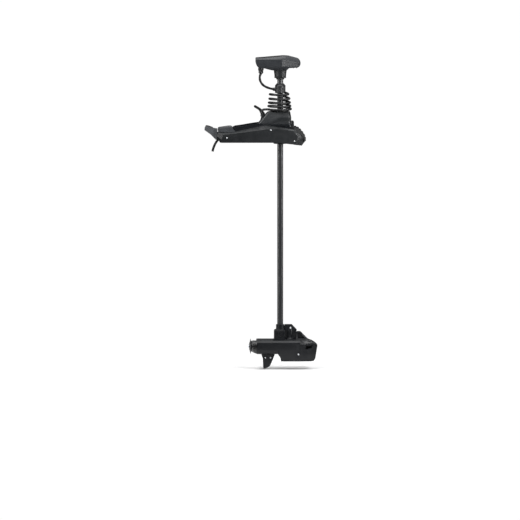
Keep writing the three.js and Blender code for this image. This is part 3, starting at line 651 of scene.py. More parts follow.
moulded("nylon", (206, 200, 186), rough=0.48, grain=1500, depth=0.2, wear=0.0, spread=0.05)
brushed("brass", (190, 150, 78), rough=0.32, stretch=(1, 1, 0.05), scale=500)
circuit("circuit")
copper("winding")
moulded("bright_zinc", (226, 228, 231), rough=0.30, grain=900, depth=0.05, wear=0.0,
        spread=0.05, metallic=0.3)
# pedal, head and saddle skins are lighter copies of satin plastic: painted light, standing for the
# top and side light that falls on these parts
moulded("pedal_skin_painted_light", (66, 68, 71), rough=0.38, grain=1500, depth=0.10, wear=0.36)
moulded("head_skin_painted_light", (39, 41, 44), rough=0.38, grain=1700, depth=0.10, wear=0.36, spec=0.38)
moulded("saddle_skin_painted_light", (52, 54, 57), rough=0.36, grain=1700, depth=0.10, wear=0.36)
moulded("prop_plastic", (22, 23, 25), rough=0.36, grain=2000, depth=0.14, wear=0.3,
        flow=(1, 1, 1))


def dress(part, slot, finish=None):
    """puts a part in a slot; finish names another material to show there"""
    part.data.materials.clear()
    part.data.materials.append(MATERIALS[finish or slot])


def piece(part, body, slot, *nodes, finish=None):
    """a finished piece: material, body, and the CAD nodes it stands for"""
    dress(part, slot, finish)
    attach(part, body)
    if nodes:
        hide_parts(*nodes)


def cross_bar(radius, depth, turn):
    """one bar of the cross recess in a screw head"""
    edit = bmesh.new()
    bmesh.ops.create_cube(edit, size=1)
    size = Vector((radius * 1.25, depth * 1.1, radius * 0.24)) / 1000
    bmesh.ops.scale(edit, vec=size, verts=edit.verts)
    bmesh.ops.rotate(edit, cent=(0, 0, 0), matrix=Matrix.Rotation(turn, 3, "Y"),
                     verts=edit.verts)
    bmesh.ops.translate(edit, vec=Vector((0, depth, 0)) / 1000, verts=edit.verts)
    return from_bmesh("cut", edit)


def screw(name, x, z, radius, face, side, depth=0.9, turn=0.4):
    """a pan head with a cross recess, on a face at that distance from the centre plane"""
    head = turned(name, [(0, -1.0), (radius, -1.0), (radius, 0.1), (radius * 0.93, depth * 0.75),
                         (radius * 0.72, depth), (0, depth)], axis="y", sides=32)
    for vertex in head.data.vertices:
        vertex.co.x -= SHAFT_X
    cut(head, *[cross_bar(radius, depth, turn + t) for t in (0, math.pi / 2)])
    if side < 0:
        flip_y(head)
    base = spot(x, side * face, z)
    for vertex in head.data.vertices:
        vertex.co += base
    return crease(head, 30)


# ---------------------------------------------------------------- shaft tube
FLUTE_REACH = 0.30        # half the angle of one flute


def four_flutes(angle, radius, height):
    local = abs(wrap(angle * 4)) / 4
    if radius > 18 and local < FLUTE_REACH:
        return radius - 0.9 * (1 - (local / FLUTE_REACH) ** 2)
    return radius


def shaft_profile():
    low, high = TUBE_LOW.z * 1000, TUBE_HIGH.z * 1000
    edge = 1.2
    heights = [low, low + edge]
    heights += [low + edge + (high - low - 2 * edge) * i / 24 for i in range(1, 24)]
    heights += [high - edge, high]
    skin = [(18.1 if z in (low, high) else 18.8, z) for z in heights]
    return [(14.5, low + 0.01)] + skin + [(14.5, high - 0.01)]


piece(turned("shaft_outer", shaft_profile(), sides=96, shape=four_flutes),
      "shaft", "shaft_composite", "shaft_tube")

# ---------------------------------------------------------------- cords and cables
COIL_START, COIL_END = -0.125, 4.5      # in turns
COIL_STEPS = 260
COIL_LEAN = -4.5                        # X of the coil's centre
COIL_FOOT = 198


def coil_path():
    """turns that rest nearly flat, then climb; the end dips inwards to the shaft.
    They open in height and narrow towards the top"""
    def rest(k):
        return COIL_FOOT + 18 * k + 1.5 * k * (k - 1)

    points = []
    for i in range(COIL_STEPS + 1):
        turn = COIL_START + (COIL_END - COIL_START) * i / COIL_STEPS
        angle = 1.5 * math.pi + TAU * turn
        k = math.floor(turn)
        z = COIL_FOOT
        if k >= 0:
            z = rest(k) + (rest(k + 1) - rest(k)) * smooth_step((turn - k - 0.2) / 0.6)
        radius = 69 - 2.9 * turn - (14 * (turn - 4) if turn > 4 else 0)
        points.append((COIL_LEAN + radius * math.cos(angle), radius * math.sin(angle), z))
    for i in range(1, 11):
        t = i / 10
        angle = 1.5 * math.pi + TAU * (COIL_END + 0.11 * t)
        dip = radius - (radius - 24) * t ** 1.15
        points.append((COIL_LEAN * (1 - t) + dip * math.cos(angle), dip * math.sin(angle),
                       z + 3.5 * t))
    return points


def coiled_cord():
    path = coil_path()
    cord = swept("coiled_cord", path, 7.0, 24, lambda a, s: 1 + 0.012 * math.cos(2 * a - s / 9.0))
    crease(cord, 60)
    dress(cord, "cable_jacket")
    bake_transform(cord)
    # each vertex's share, from its place along the cord, is worked out here but not used
    tree = kdtree.KDTree(len(path))
    for i, point in enumerate(path):
        tree.insert(spot(*point), i)
    tree.balance()
    share = [max(0.0, min(1.0, (tree.find(v.co)[1] - 14) / 236)) for v in cord.data.vertices]
    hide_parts("coil_cord")


coiled_cord()

# the cord's tail runs out over the hood's sloping back and down into it
TAIL = [(-55.5, -47.5, 197), (-70, -34, 198), (-86, -24, 197.5), (-104, -21.5, 195),
        (-114, -21.5, 186), (-113, -21.5, 173), (-105, -22, 158), (-103, -22, 140)]
piece(swept("cord_tail", catmull(TAIL, 10), 7.0, 24), "servo", "cable_jacket", "coil_tail")

# cable from the head to the collar: two cores twisted under the jacket
HEAD_CABLE = [(HEAD_CABLE_X, 0, 458), (HEAD_CABLE_X, 0, 440), (-117.2, 0, 414), (-123, 0, 399),
              (-122.5, 0, 374), (-111, 0, 351), (-93, 0, 335.5), (-62, 0, 323),
              (-40, 0, 318.6), (-33.2, 0, COLLAR_BOSS_Z)]
piece(swept("head_cable", catmull(HEAD_CABLE, 14), 6.9, 28,
            lambda a, s: 1 + 0.065 * math.cos(2 * a - TAU * s / 34.0)),
      "shaft", "cable_jacket", "loop_cable")

# power lead out of the stern wall
POWER_LEAD = [(-318, 0, 17.5), (-345, 0, 17.5), (-368, 0, 15), (-383, 0, 3), (-396, 0, -18),
              (-405, 0, -40), (-410, 0, -60)]
piece(swept("power_lead", catmull(POWER_LEAD, 10), 7.2, 24),
      "mount", "cable_jacket", "power_cable")

# ---------------------------------------------------------------- depth collar
collar = turned("depth_collar_body", [
    (TUBE_HOLE, 296), (30.4, 296), (31.6, 297.2), (32, 299), (32, 300.5), (32, 304), (32, 320),
    (32, 336), (32, 339.5), (31.4, 341.3), (23.2, 351.4), (21.6, 352.8), (TUBE_HOLE, 353)],
    sides=128, shape=grooved(16, 0.9, 3, hole=30, low=300, high=338))
cut(collar, block(14, 40, -1.1, 1.1, 290, 360))
piece(crease(collar, 30), "shaft", "cover_plastic", "depth_collar")
piece(bevel(turned("collar_boss", [
    (0, -44), (9.2, -44), (10.4, -42.6), (10.4, -34), (11.6, -32), (11.6, -24), (0, -24)],
    axis="x", at=(0, 0, COLLAR_BOSS_Z), sides=48), 0.4, 2, 30), "shaft", "black_plastic")
piece(turned("collar_screw_2", [
    (0, 0), (3.4, 0), (3.6, 0.4), (3.6, 3.4), (2.2, 4.0), (1.6, 2.4), (0, 2.4)],
    axis="y", at=(25, 31.4, 318), sides=24), "shaft", "stainless")

# ---------------------------------------------------------------- head socket and cable gland
socket_body = turned("head_socket_body", [
    (TUBE_HOLE, 387.2), (30.6, 387.2), (32.2, 388.6), (33.2, 392), (35.2, 409), (37.6, 428),
    (39.6, 436), (43.4, 446.6), (TUBE_HOLE, 446.6)],
    sides=160, shape=polygonal(10, -math.pi / 2, soft=0.05, hole=20))
cut(socket_body, prism("cut", [(-11, 383), (11, 383), (9, 391), (-9, 391)], -60, -28, 1.5))
piece(crease(socket_body, 30), "shaft", "cover_plastic", "head_socket")
for i, x in enumerate((-31.5, 31.5)):
    lug = prism("socket_lug_%d" % (i + 1),
                [(x - 4, 386.5), (x + 4, 386.5), (x + 3.4, 399), (x - 3.4, 399)], -12, 12, 1.2)
    piece(bevel(lug, 0.8, 3, 24), "shaft", "cover_plastic")
piece(turned("seal_ring_soft", [
    (19.2, 378.2), (24, 378.2), (25, 379.4), (24.2, 381), (24.2, 382), (25, 383.4),
    (24.2, 385.2), (23.4, 386.4), (19.2, 386.4)], sides=72), "shaft", "black_plastic", "seal_ring")

gland = turned("gland_nut", [
    (7.9, 431.5), (14.6, 431.5), (16.2, 432.6), (16.8, 434), (16.8, 444), (17, 447), (7.9, 447)],
    at=(HEAD_CABLE_X, 0, 0), sides=96, shape=grooved(12, 0.8, 2, hole=16))
piece(crease(gland, 30), "shaft", "black_plastic", "cable_gland")
relief = turned("gland_relief", [
    (7.7, 412), (9.4, 412), (10.2, 413), (10.2, 414.4), (13.6, 415.4), (14.2, 417), (14.2, 428),
    (13.2, 430), (11, 430.8), (7.7, 430.8)], at=(HEAD_CABLE_X, 0, 0))
piece(crease(relief, 35), "shaft", "black_plastic")
piece(turned("coil_seat", [
    (26, 183.9), (48, 184.5), (54.6, 186.6), (56, 187.6), (56, 188.6), (54.5, 189.6),
    (52, 189.2), (48, 188.4), (30, 189.9), (26, 189.9)], sides=96),
    "steering", "black_plastic", "coil_base_ring")

# ---------------------------------------------------------------- motor housing
MOTOR_AXIS = (0, 0, MOTOR_Z)
# half outline across the motor, from the top: Y, Z, corner radius
MOTOR_HALF = [(0, -1200.6, 30), (20, -1202.6, 24), (38.4, -1211, 3.0), (47.3, -1222.5, 2.2),
              (47.3, -1270, 22), (37, -1289, 22), (16, -1295.4, 22)]
MOTOR_RING = MOTOR_HALF + [(-y, z, radius) for y, z, radius in reversed(MOTOR_HALF[1:])]


def motor_section(x, scale=1.0):
    outline = rounded([(y, z) for y, z, _ in MOTOR_RING], [radius for _, _, radius in MOTOR_RING])
    return [(x, y * scale, MOTOR_Z + (z - MOTOR_Z) * scale) for y, z in outline]


def motor_solid(name, *stations):
    """stations are (X, scale)"""
    return loft(name, [motor_section(x, scale) for x, scale in stations])


def motor_clearance():
    return motor_solid("cut", (-170, 1.004), (121.5, 1.004))


motor = motor_solid("motor_shell", (-141.2, 0.985), (-139.6, 1.0),
                    *[(-139.6 + 254 * i / 12, 1.0) for i in range(1, 12)],
                    (119.6, 1.0), (121, 0.985))
cut(motor, drill("x", 43, -160, 115, 64, MOTOR_AXIS))
piece(crease(motor, 24), "shaft", "painted_alloy", "motor_housing")

# ring in the joint with the nose
gasket = motor_solid("nose_gasket", (117.5, 0.972), (125.5, 0.972))
cut(gasket, drill("x", 12, 100, 140, 48, MOTOR_AXIS))
piece(crease(gasket, 30), "shaft", "pad_rubber")

BAND_X = -118.5
piece(motor_solid("motor_band_1", (BAND_X - 1.2, 1.004), (BAND_X, 1.012), (BAND_X + 1.2, 1.004)),
      "shaft", "painted_alloy")

# rear bell: a cone with a relieved upper half
bell = turned("motor_bell", [
    (7.6, -166.2), (36.4, -166.2), (37.6, -165.2), (38.6, -162.5), (42.2, -155),
    (45.6, -147.5), (47.0, -143), (47.2, -141.4), (42.9, -141.4), (42.9, -136), (20, -136),
    (18, -150), (7.6, -152)], axis="x", at=MOTOR_AXIS, sides=96)
bell_relief = turned("cut", [(35.5, -164), (35.5, -145.5), (60, -145.5), (60, -164)],
                     axis="x", at=MOTOR_AXIS, sides=96)
cut(bell_relief, block(-200, -100, -70, 70, -1330, MOTOR_Z - 8))
cut(bell, bell_relief)
# the bell is shown in black plastic instead of its paint: painted shade for the shadowed recess at
# its upper half
piece(bevel(bell, 0.7, 2, 30), "shaft", "painted_alloy", "rear_end_bell", finish="black_plastic")

# ---------------------------------------------------------------- propeller
PROP_X = -176.4
BLADE_ROOT = 16
# radius, and the two edges of the blade across it
BLADE = [(16, -15, 14), (30, -24, 22), (46, -30.5, 28.5), (62, -35, 33), (80, -37.5, 36),
         (96, -38, 37), (110, -35, 34), (119, -28, 27), (125, -18, 17.5), (127.6, -8, 8)]
BLADE_POINTS = 11         # along each face


def blade(name, sign):
    """a twisted, cambered blade that thins towards the tip"""
    rows = []
    for radius, edge0, edge1 in BLADE:
        t = (radius - BLADE_ROOT) / 112
        pitch = math.radians(26) * (1 - t) ** 2.2 + math.radians(2.2)
        rake = -1.5 * t
        row = []
        for face in (1, -1):
            for k in range(BLADE_POINTS):
                u = k / (BLADE_POINTS - 1)
                s = u if face > 0 else 1 - u
                chord = edge0 + (edge1 - edge0) * s
                thick = (2.6 - 1.6 * t) * (4 * s * (1 - s)) ** 0.5 + 0.35
                camber = 2.2 * (1 - t) * (4 * s * (1 - s))
                x = face * thick / 2 + camber + rake
                along = x * math.cos(pitch) - chord * math.sin(pitch)
                across = x * math.sin(pitch) + chord * math.cos(pitch)
                row.append((PROP_X + along, sign * radius, MOTOR_Z + sign * across))
        rows.append(row)
    part = loft(name, rows)
    add_modifier(part, "sub", "SUBSURF", levels=1, render_levels=1)
    apply_modifiers(part)
    return crease(part, 50)


hub = turned("prop_hub", [
    (5.4, -166.7), (34.2, -166.7), (35.4, -168.0), (34.6, -171), (32.4, -176), (30.0, -180.5),
    (26.4, -184.8), (23.2, -187.2), (20.4, -188), (12, -188), (10.5, -186.4), (5.4, -186.4)],
    axis="x", at=MOTOR_AXIS, sides=120,
    shape=grooved(6, 1.5, 6, hole=20, low=-187, high=-167.2))
crease(hub, 35)
propeller = merge("prop_two_blade", [hub, blade("blade_1", 1), blade("blade_2", -1)])
piece(crease(propeller, 38), "prop", "prop_plastic", "propeller")
piece(bevel(turned("prop_nut_fine", [
    (5.4, -188.3), (8.6, -188.3), (9, -188.9), (9, -192.8), (8.2, -193.8), (5.4, -193.8)],
    axis="x", at=MOTOR_AXIS, sides=6), 0.35, 2, 20), "prop", "stainless", "prop_nut")

# ---------------------------------------------------------------- skeg
SKEG_HALF = 4.0
skeg = prism("skeg_blade", [
    (-113, -1292), (-113.5, -1301), (-106, -1322), (-104.5, -1350), (-102.6, -1384),
    (-99.5, -1387.4), (-67, -1373), (-60, -1366), (-34, -1303), (-32, -1292)],
    -SKEG_HALF, SKEG_HALF, [0, 6, 12, 20, 2, 3, 4, 5, 8, 0], 4)
piece(bevel(skeg, 2.2, 4, 40), "shaft", "painted_alloy", "skeg")
foot = prism("skeg_foot", [
    (-118, -1286), (-113, -1300), (-106, -1304), (-46, -1304), (-36, -1300), (-30, -1286)],
    -10, 10, [0, 5, 4, 4, 5, 0], 4)
cut(foot, drill("x", 47.0, -160, 0, 64, MOTOR_AXIS))
piece(bevel(foot, 1.4, 3, 35), "shaft", "painted_alloy")
for i, (x, side) in enumerate(((-90, -1), (-59, -1), (-90, 1), (-59, 1))):
    piece(screw("skeg_screw_%d" % (i + 1), x, -1317.5, 4.6, SKEG_HALF, side, turn=0.3 + i),
          "shaft", "stainless")

# ---------------------------------------------------------------- lower bracket
BOLT_AT = (3, 0, -1165)
# clamp block, upwards: Z, reach to -X, reach to +X, half width, corner radius
CLAMP = [(-1217, 40.5, 31, 34, 7), (-1204, 40.5, 31, 34, 7), (-1200, 38.5, 29.4, 32.6, 7),
         (-1153, 38.2, 29.2, 32.2, 8), (-1147.5, 36, 27, 31, 9), (-1143.4, 27, 22, 26, 12)]
clamp = loft("lower_clamp", [
    [(x, y, z) for x, y in rounded(rectangle(-back, ahead, -half, half), radius, 6)]
    for z, back, ahead, half, radius in CLAMP])
join(clamp, drill("z", 25.4, -1160, -1114.4, 96))
cut(clamp, drill("z", 19.2, -1162, -1100, 72))
cut(clamp, motor_clearance(), drill("y", 18.8, -60, -30.2, 72, BOLT_AT),
    drill("y", 18.8, 30.2, 60, 72, BOLT_AT), block(-60, -24.5, -1.2, 1.2, -1150, -1100))
crease(clamp, 28)
piece(bevel(clamp, 0.9, 2, 32), "shaft", "painted_alloy", "lower_bracket")
for side, label in SIDES:
    bolt = turned("bolt_head_" + label, [
        (0, 30.6), (18.0, 30.6), (18.2, 31), (18.2, 35.4), (16.4, 38.4), (14.6, 38.6),
        (13.0, 35.4), (9.2, 34.8), (8.0, 36.8), (0, 37.2)], axis="y", at=BOLT_AT, sides=72)
    if side < 0:
        flip_y(bolt)
    piece(crease(bolt, 30), "shaft", "painted_alloy", *(("bracket_bolt",) if side < 0 else ()))

# plate on the +X side of the sleeve, with its boss and screw
PLATE_BOSS = (56, 0, -1153)
plate = prism("rear_plate", [
    (26, -1113.4), (70, -1113.4), (101, -1146), (98, -1155.5), (72, -1158), (62, -1166),
    (54, -1167), (40, -1158), (33, -1150)], -11, 11, [2, 7, 4, 3, 4, 6, 6, 5, 3])
cut(plate, drill("z", 26.2, -1160, -1100, 72), drill("y", 6.2, -12, -9.6, 40, (63, 0, -1134)),
    drill("y", 14.5, -12, -9.9, 56, PLATE_BOSS))
piece(bevel(plate, 1.0, 3, 30), "shaft", "painted_alloy", "bracket_plate")
piece(turned("plate_boss", [
    (0, -8), (11.2, -8), (11.2, -10.4), (9.8, -11.4), (4, -11.4), (3, -10.6), (0, -10.6)],
    axis="y", at=PLATE_BOSS, sides=48), "shaft", "painted_alloy")
piece(screw("plate_screw", 63, -1134, 5.2, 9.6, -1, depth=1.6),
      "shaft", "stainless", finish="bright_zinc")

pillar = turned("pillar", [
    (0, -1148), (17.2, -1148), (17.4, -1152), (17.4, -1190), (18.4, -1194), (22.6, -1197),
    (25.6, -1200), (26.4, -1204), (27, -1222), (0, -1222)],
    at=(58, 0, 0), sides=88, shape=polygonal(12, 0.13, soft=0.3))
cut(pillar, motor_clearance())
piece(crease(pillar, 30), "shaft", "painted_alloy")
web = prism("web_plate", [(20.2, -1120), (66, -1120), (90, -1146), (99.5, -1158),
                          (99.5, -1206), (20.2, -1206)], -8.4, 8.4)
cut(web, drill("z", 19.4, -1162, -1100, 64))
cut(web, motor_clearance())
piece(bevel(web, 0.8, 2, 30), "shaft", "painted_alloy")

# ---------------------------------------------------------------- nose of the lower unit
NOSE_OUTLINE = [
    (-13, -1262), (-14, -1290), (-10, -1298), (-3, -1306), (2, -1318), (4.4, -1336.6),
    (186, -1336.6), (203, -1333.5), (213, -1321), (225.6, -1243), (224, -1237), (211, -1225),
    (191, -1212), (167, -1203.2), (124, -1158.6), (119, -1156.6), (103, -1156.6), (99, -1160),
    (97.2, -1200), (97.2, -1262)]
NOSE_RADII = [3, 6, 10, 12, 12, 4, 10, 8, 10, 5, 8, 20, 30, 16, 4, 3, 3, 2, 6, 0]
NOSE_SLICES = [-1170, -1182, -1194, -1204, -1213, -1222, -1232, -1244, -1256, -1268, -1280,
               -1290, -1300, -1310, -1320, -1329]
NOSE_SCREW_X, NOSE_SCREW_Z = 111, -1292.5


def taper_nose(part):
    """narrows towards the tip, a little at the bottom, and to a slim wedge at the top"""
    for vertex in part.data.vertices:
        x = (vertex.co.x - SHAFT_X) * 1000
        y = vertex.co.y * 1000
        z = vertex.co.z * 1000
        scale = 1.0
        if x > 120:
            scale *= 1 - 0.36 * min(1.0, (x - 120) / 106) ** 1.9
        if z < -1290:
            scale *= 1 - 0.10 * ((-1290 - z) / 47) ** 1.4
        if z > -1232:
            scale *= 1 - 0.56 * min(1.0, (z + 1232) / 66) ** 0.85
        vertex.co.y = y * scale / 1000


def nose():
    part = prism("sensor_shell", NOSE_OUTLINE, -47.6, 47.6, NOSE_RADII, 6)
    bevel(part, 7.5, 5, 40)
    slice_mesh(part, [-5 + 12 * i for i in range(19)], NOSE_SLICES)
    taper_nose(part)
    for side, _ in SIDES:
        # slanted scoop with an undercut ceiling
        scoop = hull("cut", [(x, y * side, z) for x, y, z in (
            (158, 24, -1259), (149, 60, -1265), (160, 22, -1239), (157, 60, -1238.5),
            (207, 60, -1237.5), (190, 22, -1239), (199, 60, -1256), (186, 24, -1250))])
        notch = hull("cut", [(x, y * side, z) for x, z in (
            (115, -1241), (120, -1241), (122, -1229), (127, -1229)) for y in (43.5, 60)])
        slit = block(97, 118, *span(side, 44.6, 60), -1311, -1309.4)
        well = drill("y", 5.4, *span(side, 45.8, 60), 40, (NOSE_SCREW_X, 0, NOSE_SCREW_Z))
        dot = drill("y", 2.6, *span(side, 43.8, 60), 24, (NOSE_SCREW_X, 0, NOSE_SCREW_Z - 8))
        cut(part, scoop, notch, slit, well, dot)
    fix_normals(part)
    clearance = motor_solid("cut", (-170, 1.006), (121.8, 1.006))
    # side pockets leave a thin wall in the middle of the wedge
    pockets = [prism("cut", [(107, -1163), (119, -1163), (152, -1197), (108, -1197)],
                     *span(side, 15.2, 60), 3) for side, _ in SIDES]
    cut(part, clearance, *pockets)
    piece(crease(part, 26), "shaft", "cover_plastic", "nose_shell", finish="painted_alloy")


nose()
for side, label in SIDES:
    piece(screw("nose_screw_" + label, NOSE_SCREW_X, NOSE_SCREW_Z, 4.9, 45.9, side, depth=1.2),
          "shaft", "stainless", finish="bright_zinc")
window = prism("sensor_window", rectangle(41, 177, -1336.9, -1322), -25, 25, 2)
piece(bevel(window, 1.0, 3, 30), "shaft", "black_plastic", "transducer_element")

# ---------------------------------------------------------------- mount covers and ramp pads
COVER_INNER = 60.4        # Y of the cover's inner face
# sloped stern end: (X, Y, Z) round the section, in the same order as the stations below
COVER_STERN = [
    [(-361, COVER_INNER, 0.4), (-365.5, 70, 0.4), (-383, 67, 38), (-377.5, 68, 57),
     (-375, 66, 61.5), (-374, COVER_INNER, 62)],
    [(-354, COVER_INNER, 0.4), (-357, 92, 0.4), (-353.5, 92, 20), (-346.6, 92, 49),
     (-343, 83, 56.5), (-342, COVER_INNER, 60.4)]]
# X, bottom, crease height, chamfer top, inner top, outer Y, chamfer-top Y
COVER = [
    (-283, 0.4, 56.0, 60.4, 65.0, 92, 79),
    (-131, 0.4, 75.2, 87.0, 97.0, 92, 75),
    (-106, 0.4, 78.4, 91.5, 102.5, 92, 74),
    (-66, 0.4, 83.6, 98.0, 102.5, 92, 73),
    (-20, 0.4, 84.6, 94.5, 96.5, 92, 76),
    (76, -9.6, 73.4, 79.8, 80.0, 92, 83)]
COVER_BOW = [
    (70, 92, -8.6), (70, 92, 73.9), (70, 83, 80.2), (70, COVER_INNER, -8.6),
    (70, COVER_INNER, 80.2), (90, 92, -12.3), (106.5, 92, 38.5), (79, 92, 73.0), (84, 83, 79.2),
    (101, 80, 69), (130, 71, -18.4), (130, COVER_INNER, -18.4), (156, 65, 15),
    (156, COVER_INNER, 15), (149, 67, 31), (149, COVER_INNER, 31), (124, 75, 56),
    (124, COVER_INNER, 57), (101, COVER_INNER, 72)]
COVER_HOLLOW = [(-350, -30), (-346, 44), (-283, 52), (-66, 78), (-20, 80), (70, 70), (96, 36),
                (84, -30)]
# stepped pad at the bow end, and the bed cut for it
PAD = [(84, 79), (84, 88), (90, 90), (97, 88), (100, 83), (107, 84.5), (113, 80), (114, 73),
       (121, 73), (127, 67), (127, 60), (134, 58), (140, 51), (140, 44), (146, 40.5), (151, 32),
       (150, 25), (155, 20), (156, 12), (148, 8), (142, 27), (124, 50), (104, 68)]
PAD_BED = [(83.7, 79.3), (83.7, 100), (175, 100), (175, 11.7), (148, 7.5), (141.6, 26.8),
           (123.7, 49.7), (103.7, 67.7)]
SIPE_LINE = [(84, 88), (97, 86.5), (107, 83), (121, 71.5), (134, 56.5), (146, 39), (155, 18)]
# place, X, Z, head radius, Y of the seat, head depth
COVER_SCREWS = [("stern", -322, 30, 4.3, 90.7, 1.3), ("mid", -57.5, 78.6, 4.2, 90.7, 1.2),
                ("bow", 87, 12, 3.8, 90.3, 1.2)]


def side_cover(side, label, hand):
    inner = side * COVER_INNER
    sections = [[(x, side * y, z) for x, y, z in section] for section in COVER_STERN]
    for x, bottom, fold, top, inner_top, outer_y, top_y in COVER:
        sections.append([
            (x, inner, bottom), (x, side * outer_y, bottom),
            (x, side * outer_y, bottom + 0.45 * (fold - bottom)), (x, side * outer_y, fold),
            (x, side * top_y, top), (x, inner, inner_top)])
    part = loft("side_cover_" + label, sections, smooth=False)
    join(part, hull("cut", [(x, side * y, z) for x, y, z in COVER_BOW]))
    cut(part, prism("cut", PAD_BED, *span(side, 50, 79.3)))
    cut(part, prism("cut", COVER_HOLLOW, *span(side, 58, 88.5)))
    # wells of the stern and middle screws, the upright slot of the bow screw, a small dot
    cut(part, drill("y", 5.9, *span(side, 90.6, 96), 40, (-322, 0, 30)))
    cut(part, drill("y", 4.6, *span(side, 90.6, 96), 40, (-57.5, 0, 78.6)))
    cut(part, prism("cut", rectangle(83, 91, 4, 20), *span(side, 90.2, 96), 3.9, 8))
    cut(part, drill("y", 1.7, *span(side, 90.9, 96), 20, (-285, 0, 19)))
    flatten(part, 0.6)
    bevel(part, 1.15, 3, 18)
    piece(part, "mount", "cover_plastic", hand + "_side_cover")


def cover_screws(side, label, first):
    nodes = {"stern": ["cover_screw_%d" % first], "bow": ["cover_screw_%d" % (first + 1)]}
    for place, x, z, radius, face, depth in COVER_SCREWS:
        piece(screw("cover_screw_%s_%s" % (place, label), x, z, radius, face, side, depth),
              "mount", "stainless", *nodes.get(place, ()), finish="bright_zinc")


def ramp_pad(side, label, hand):
    pad = prism("ramp_pad_" + label, PAD, *span(side, 54.6, 78.9), 1.3, 3)
    # three thin cuts along the pad
    sipe = [(x + (1.2 if x < 150 else 0.9), z - 1.6) for x, z in SIPE_LINE]
    sipe += [(175, 18), (175, 110), (84, 110)]
    for k in range(3):
        y = side * (60.6 + 6.1 * k)
        cut(pad, prism("cut", sipe, y - 0.55, y + 0.55))
    piece(bevel(pad, 0.7, 2, 32), "mount", "pad_rubber", hand + "_ramp_pad")


for side, label, hand, first_screw in ((-1, "near", "left", 1), (1, "far", "right", 3)):
    side_cover(side, label, hand)
    cover_screws(side, label, first_screw)
    ramp_pad(side, label, hand)

# ---------------------------------------------------------------- saddle
GROOVE_Z = 112            # centre of the shaft groove
saddle = prism("saddle_rest", [
    (-376, 62.6), (-379, 79), (-373, 84.5), (-314, 93.4), (-298, 93.2), (-288, 84),
    (-278.4, 66), (-278.4, 6.2), (-340.4, 6.2), (-340.4, 62.6)],
    -53.4, 53.4, [2, 4, 5, 8, 4, 5, 3, 2, 2, 2])
join(saddle, prism("cut", [
    (-375.6, 63.2), (-378.4, 79), (-372.6, 84), (-314, 92.8), (-298.5, 92.6), (-289, 86),
    (-270, 66.5), (-273, 63.2)], -59.7, 59.7, [1, 4, 5, 8, 4, 5, 2, 2], 4))
cut(saddle, drill("x", 27, -400, -260, 72, (0, 0, GROOVE_Z)),
    block(-342, -270, 34, 46, 0, 22), block(-342, -270, -12, 12, 0, 34))
# the saddle's lighter skin paints the light that falls on its upper faces
piece(bevel(saddle, 2.2, 4, 34), "mount", "satin_plastic", "saddle_block", finish="saddle_skin_painted_light")

# soft liner in the groove
arc = []
for k in range(25):
    angle = math.radians(-112 + 44 * k / 24)
    arc.append((26.9 * math.cos(angle), GROOVE_Z + 26.9 * math.sin(angle)))
liner = loft("saddle_liner", [
    [(x, y, z) for y, z in arc]
    + [(x, y * 0.94, GROOVE_Z + (z - GROOVE_Z) * 0.94) for y, z in reversed(arc)]
    for x in (-350, -346, -330, -312, -306)])
piece(bevel(liner, 0.5, 2, 40), "mount", "pad_rubber")

# rails of the channel, standing above the covers
for side, label in SIDES:
    rail = prism("channel_rail_" + label, [
        (-286, 60), (-288, 84), (-284, 89), (-272, 93.4), (-233, 98.6), (-184, 107.4),
        (-128, 115.6), (-104, 112), (-98, 94), (-110, 84)],
        *span(side, 55.6, 59.1), [2, 4, 4, 8, 12, 12, 8, 8, 4, 4], 4)
    piece(bevel(rail, 1.1, 3, 34), "mount", "frame_alloy")

# ---------------------------------------------------------------- stern wall and cable grommet
stern = hull("stern_wall", [(x, y, z) for x, z in (
    (-363, 1), (-379, 38), (-374, 60), (-347, 1), (-347, 60)) for y in (-66, 66)])
cut(stern, block(-402, -340, -29, -20, -5, 53), block(-402, -340, 20, 29, -5, 53),
    drill("x", 10.5, -400, -340, 48, (0, 0, 17.5)), drill("x", 5, -400, -340, 32, (0, 40, 14)),
    block(-402, -340, 59.9, 80, -5, 80), block(-402, -340, -80, -59.9, -5, 80))
piece(bevel(stern, 1.2, 3, 30), "mount", "satin_plastic", "stern_end_cap")


def ring_profile(inner, outer, low, high, chamfer):
    return [(inner, low + chamfer), (inner + chamfer, low), (outer - chamfer, low),
            (outer, low + chamfer), (outer, high - chamfer), (outer - chamfer, high),
            (inner + chamfer, high), (inner, high - chamfer)]


piece(turned("cable_grommet", ring_profile(7.6, 12.5, -386, -371, chamfer=1.6),
             axis="x", at=(0, 0, 15.5), sides=48), "mount", "pad_rubber")

# ---------------------------------------------------------------- foot pedal
pedal = prism("pedal_shell", [
    (-459, 73), (-457.5, 84), (-451, 93.5), (-441, 94.5), (-426, 89.5), (-406, 81.5), (-381, 77),
    (-380.3, 62), (-382.5, 36), (-386, 14.4), (-391, 14.4), (-420, 45)],
    -36, 36, [5, 6, 6, 5, 14, 14, 2.5, 4, 10, 2, 5, 16], 6)
cut(pedal, prism("cut", [
    (-449, 70), (-450, 82), (-441, 86.5), (-424, 82), (-404, 74.5), (-387, 70), (-387, 62),
    (-389, 36), (-391, 5), (-425, 30), (-462, 60)], -28, 28, 3),
    block(-404, -376, -28.6, -20.4, 0, 66), block(-404, -376, 20.4, 28.6, 0, 66),
    block(-404, -376, -21, 21, 0, 66), drill("y", 4.6, -40, 40, 40, (-392, 0, 48)))
# the pedal's lighter skin paints the top light that falls on it
piece(bevel(pedal, 1.6, 3, 32), "pedal", "satin_plastic", "foot_pedal", finish="pedal_skin_painted_light")

# rubber tread with eight grooves that follow its slope
tread = prism("pedal_grip", [
    (-452, 93), (-451.5, 96.6), (-441, 97.3), (-425.6, 92.8), (-409, 86.4), (-409, 84.4),
    (-425.9, 90.6), (-440.9, 95.0)], -29, 29, 0.8, 3)
for k in range(8):
    x = -449 + 5.0 * k
    tread_top = 96.9 - max(0, (x + 441)) * 0.36
    cut(tread, block(x, x + 1.5, -23, 23, tread_top - 1.3, 110))
piece(bevel(tread, 0.45, 2, 32), "pedal", "pad_rubber", "pedal_tread")

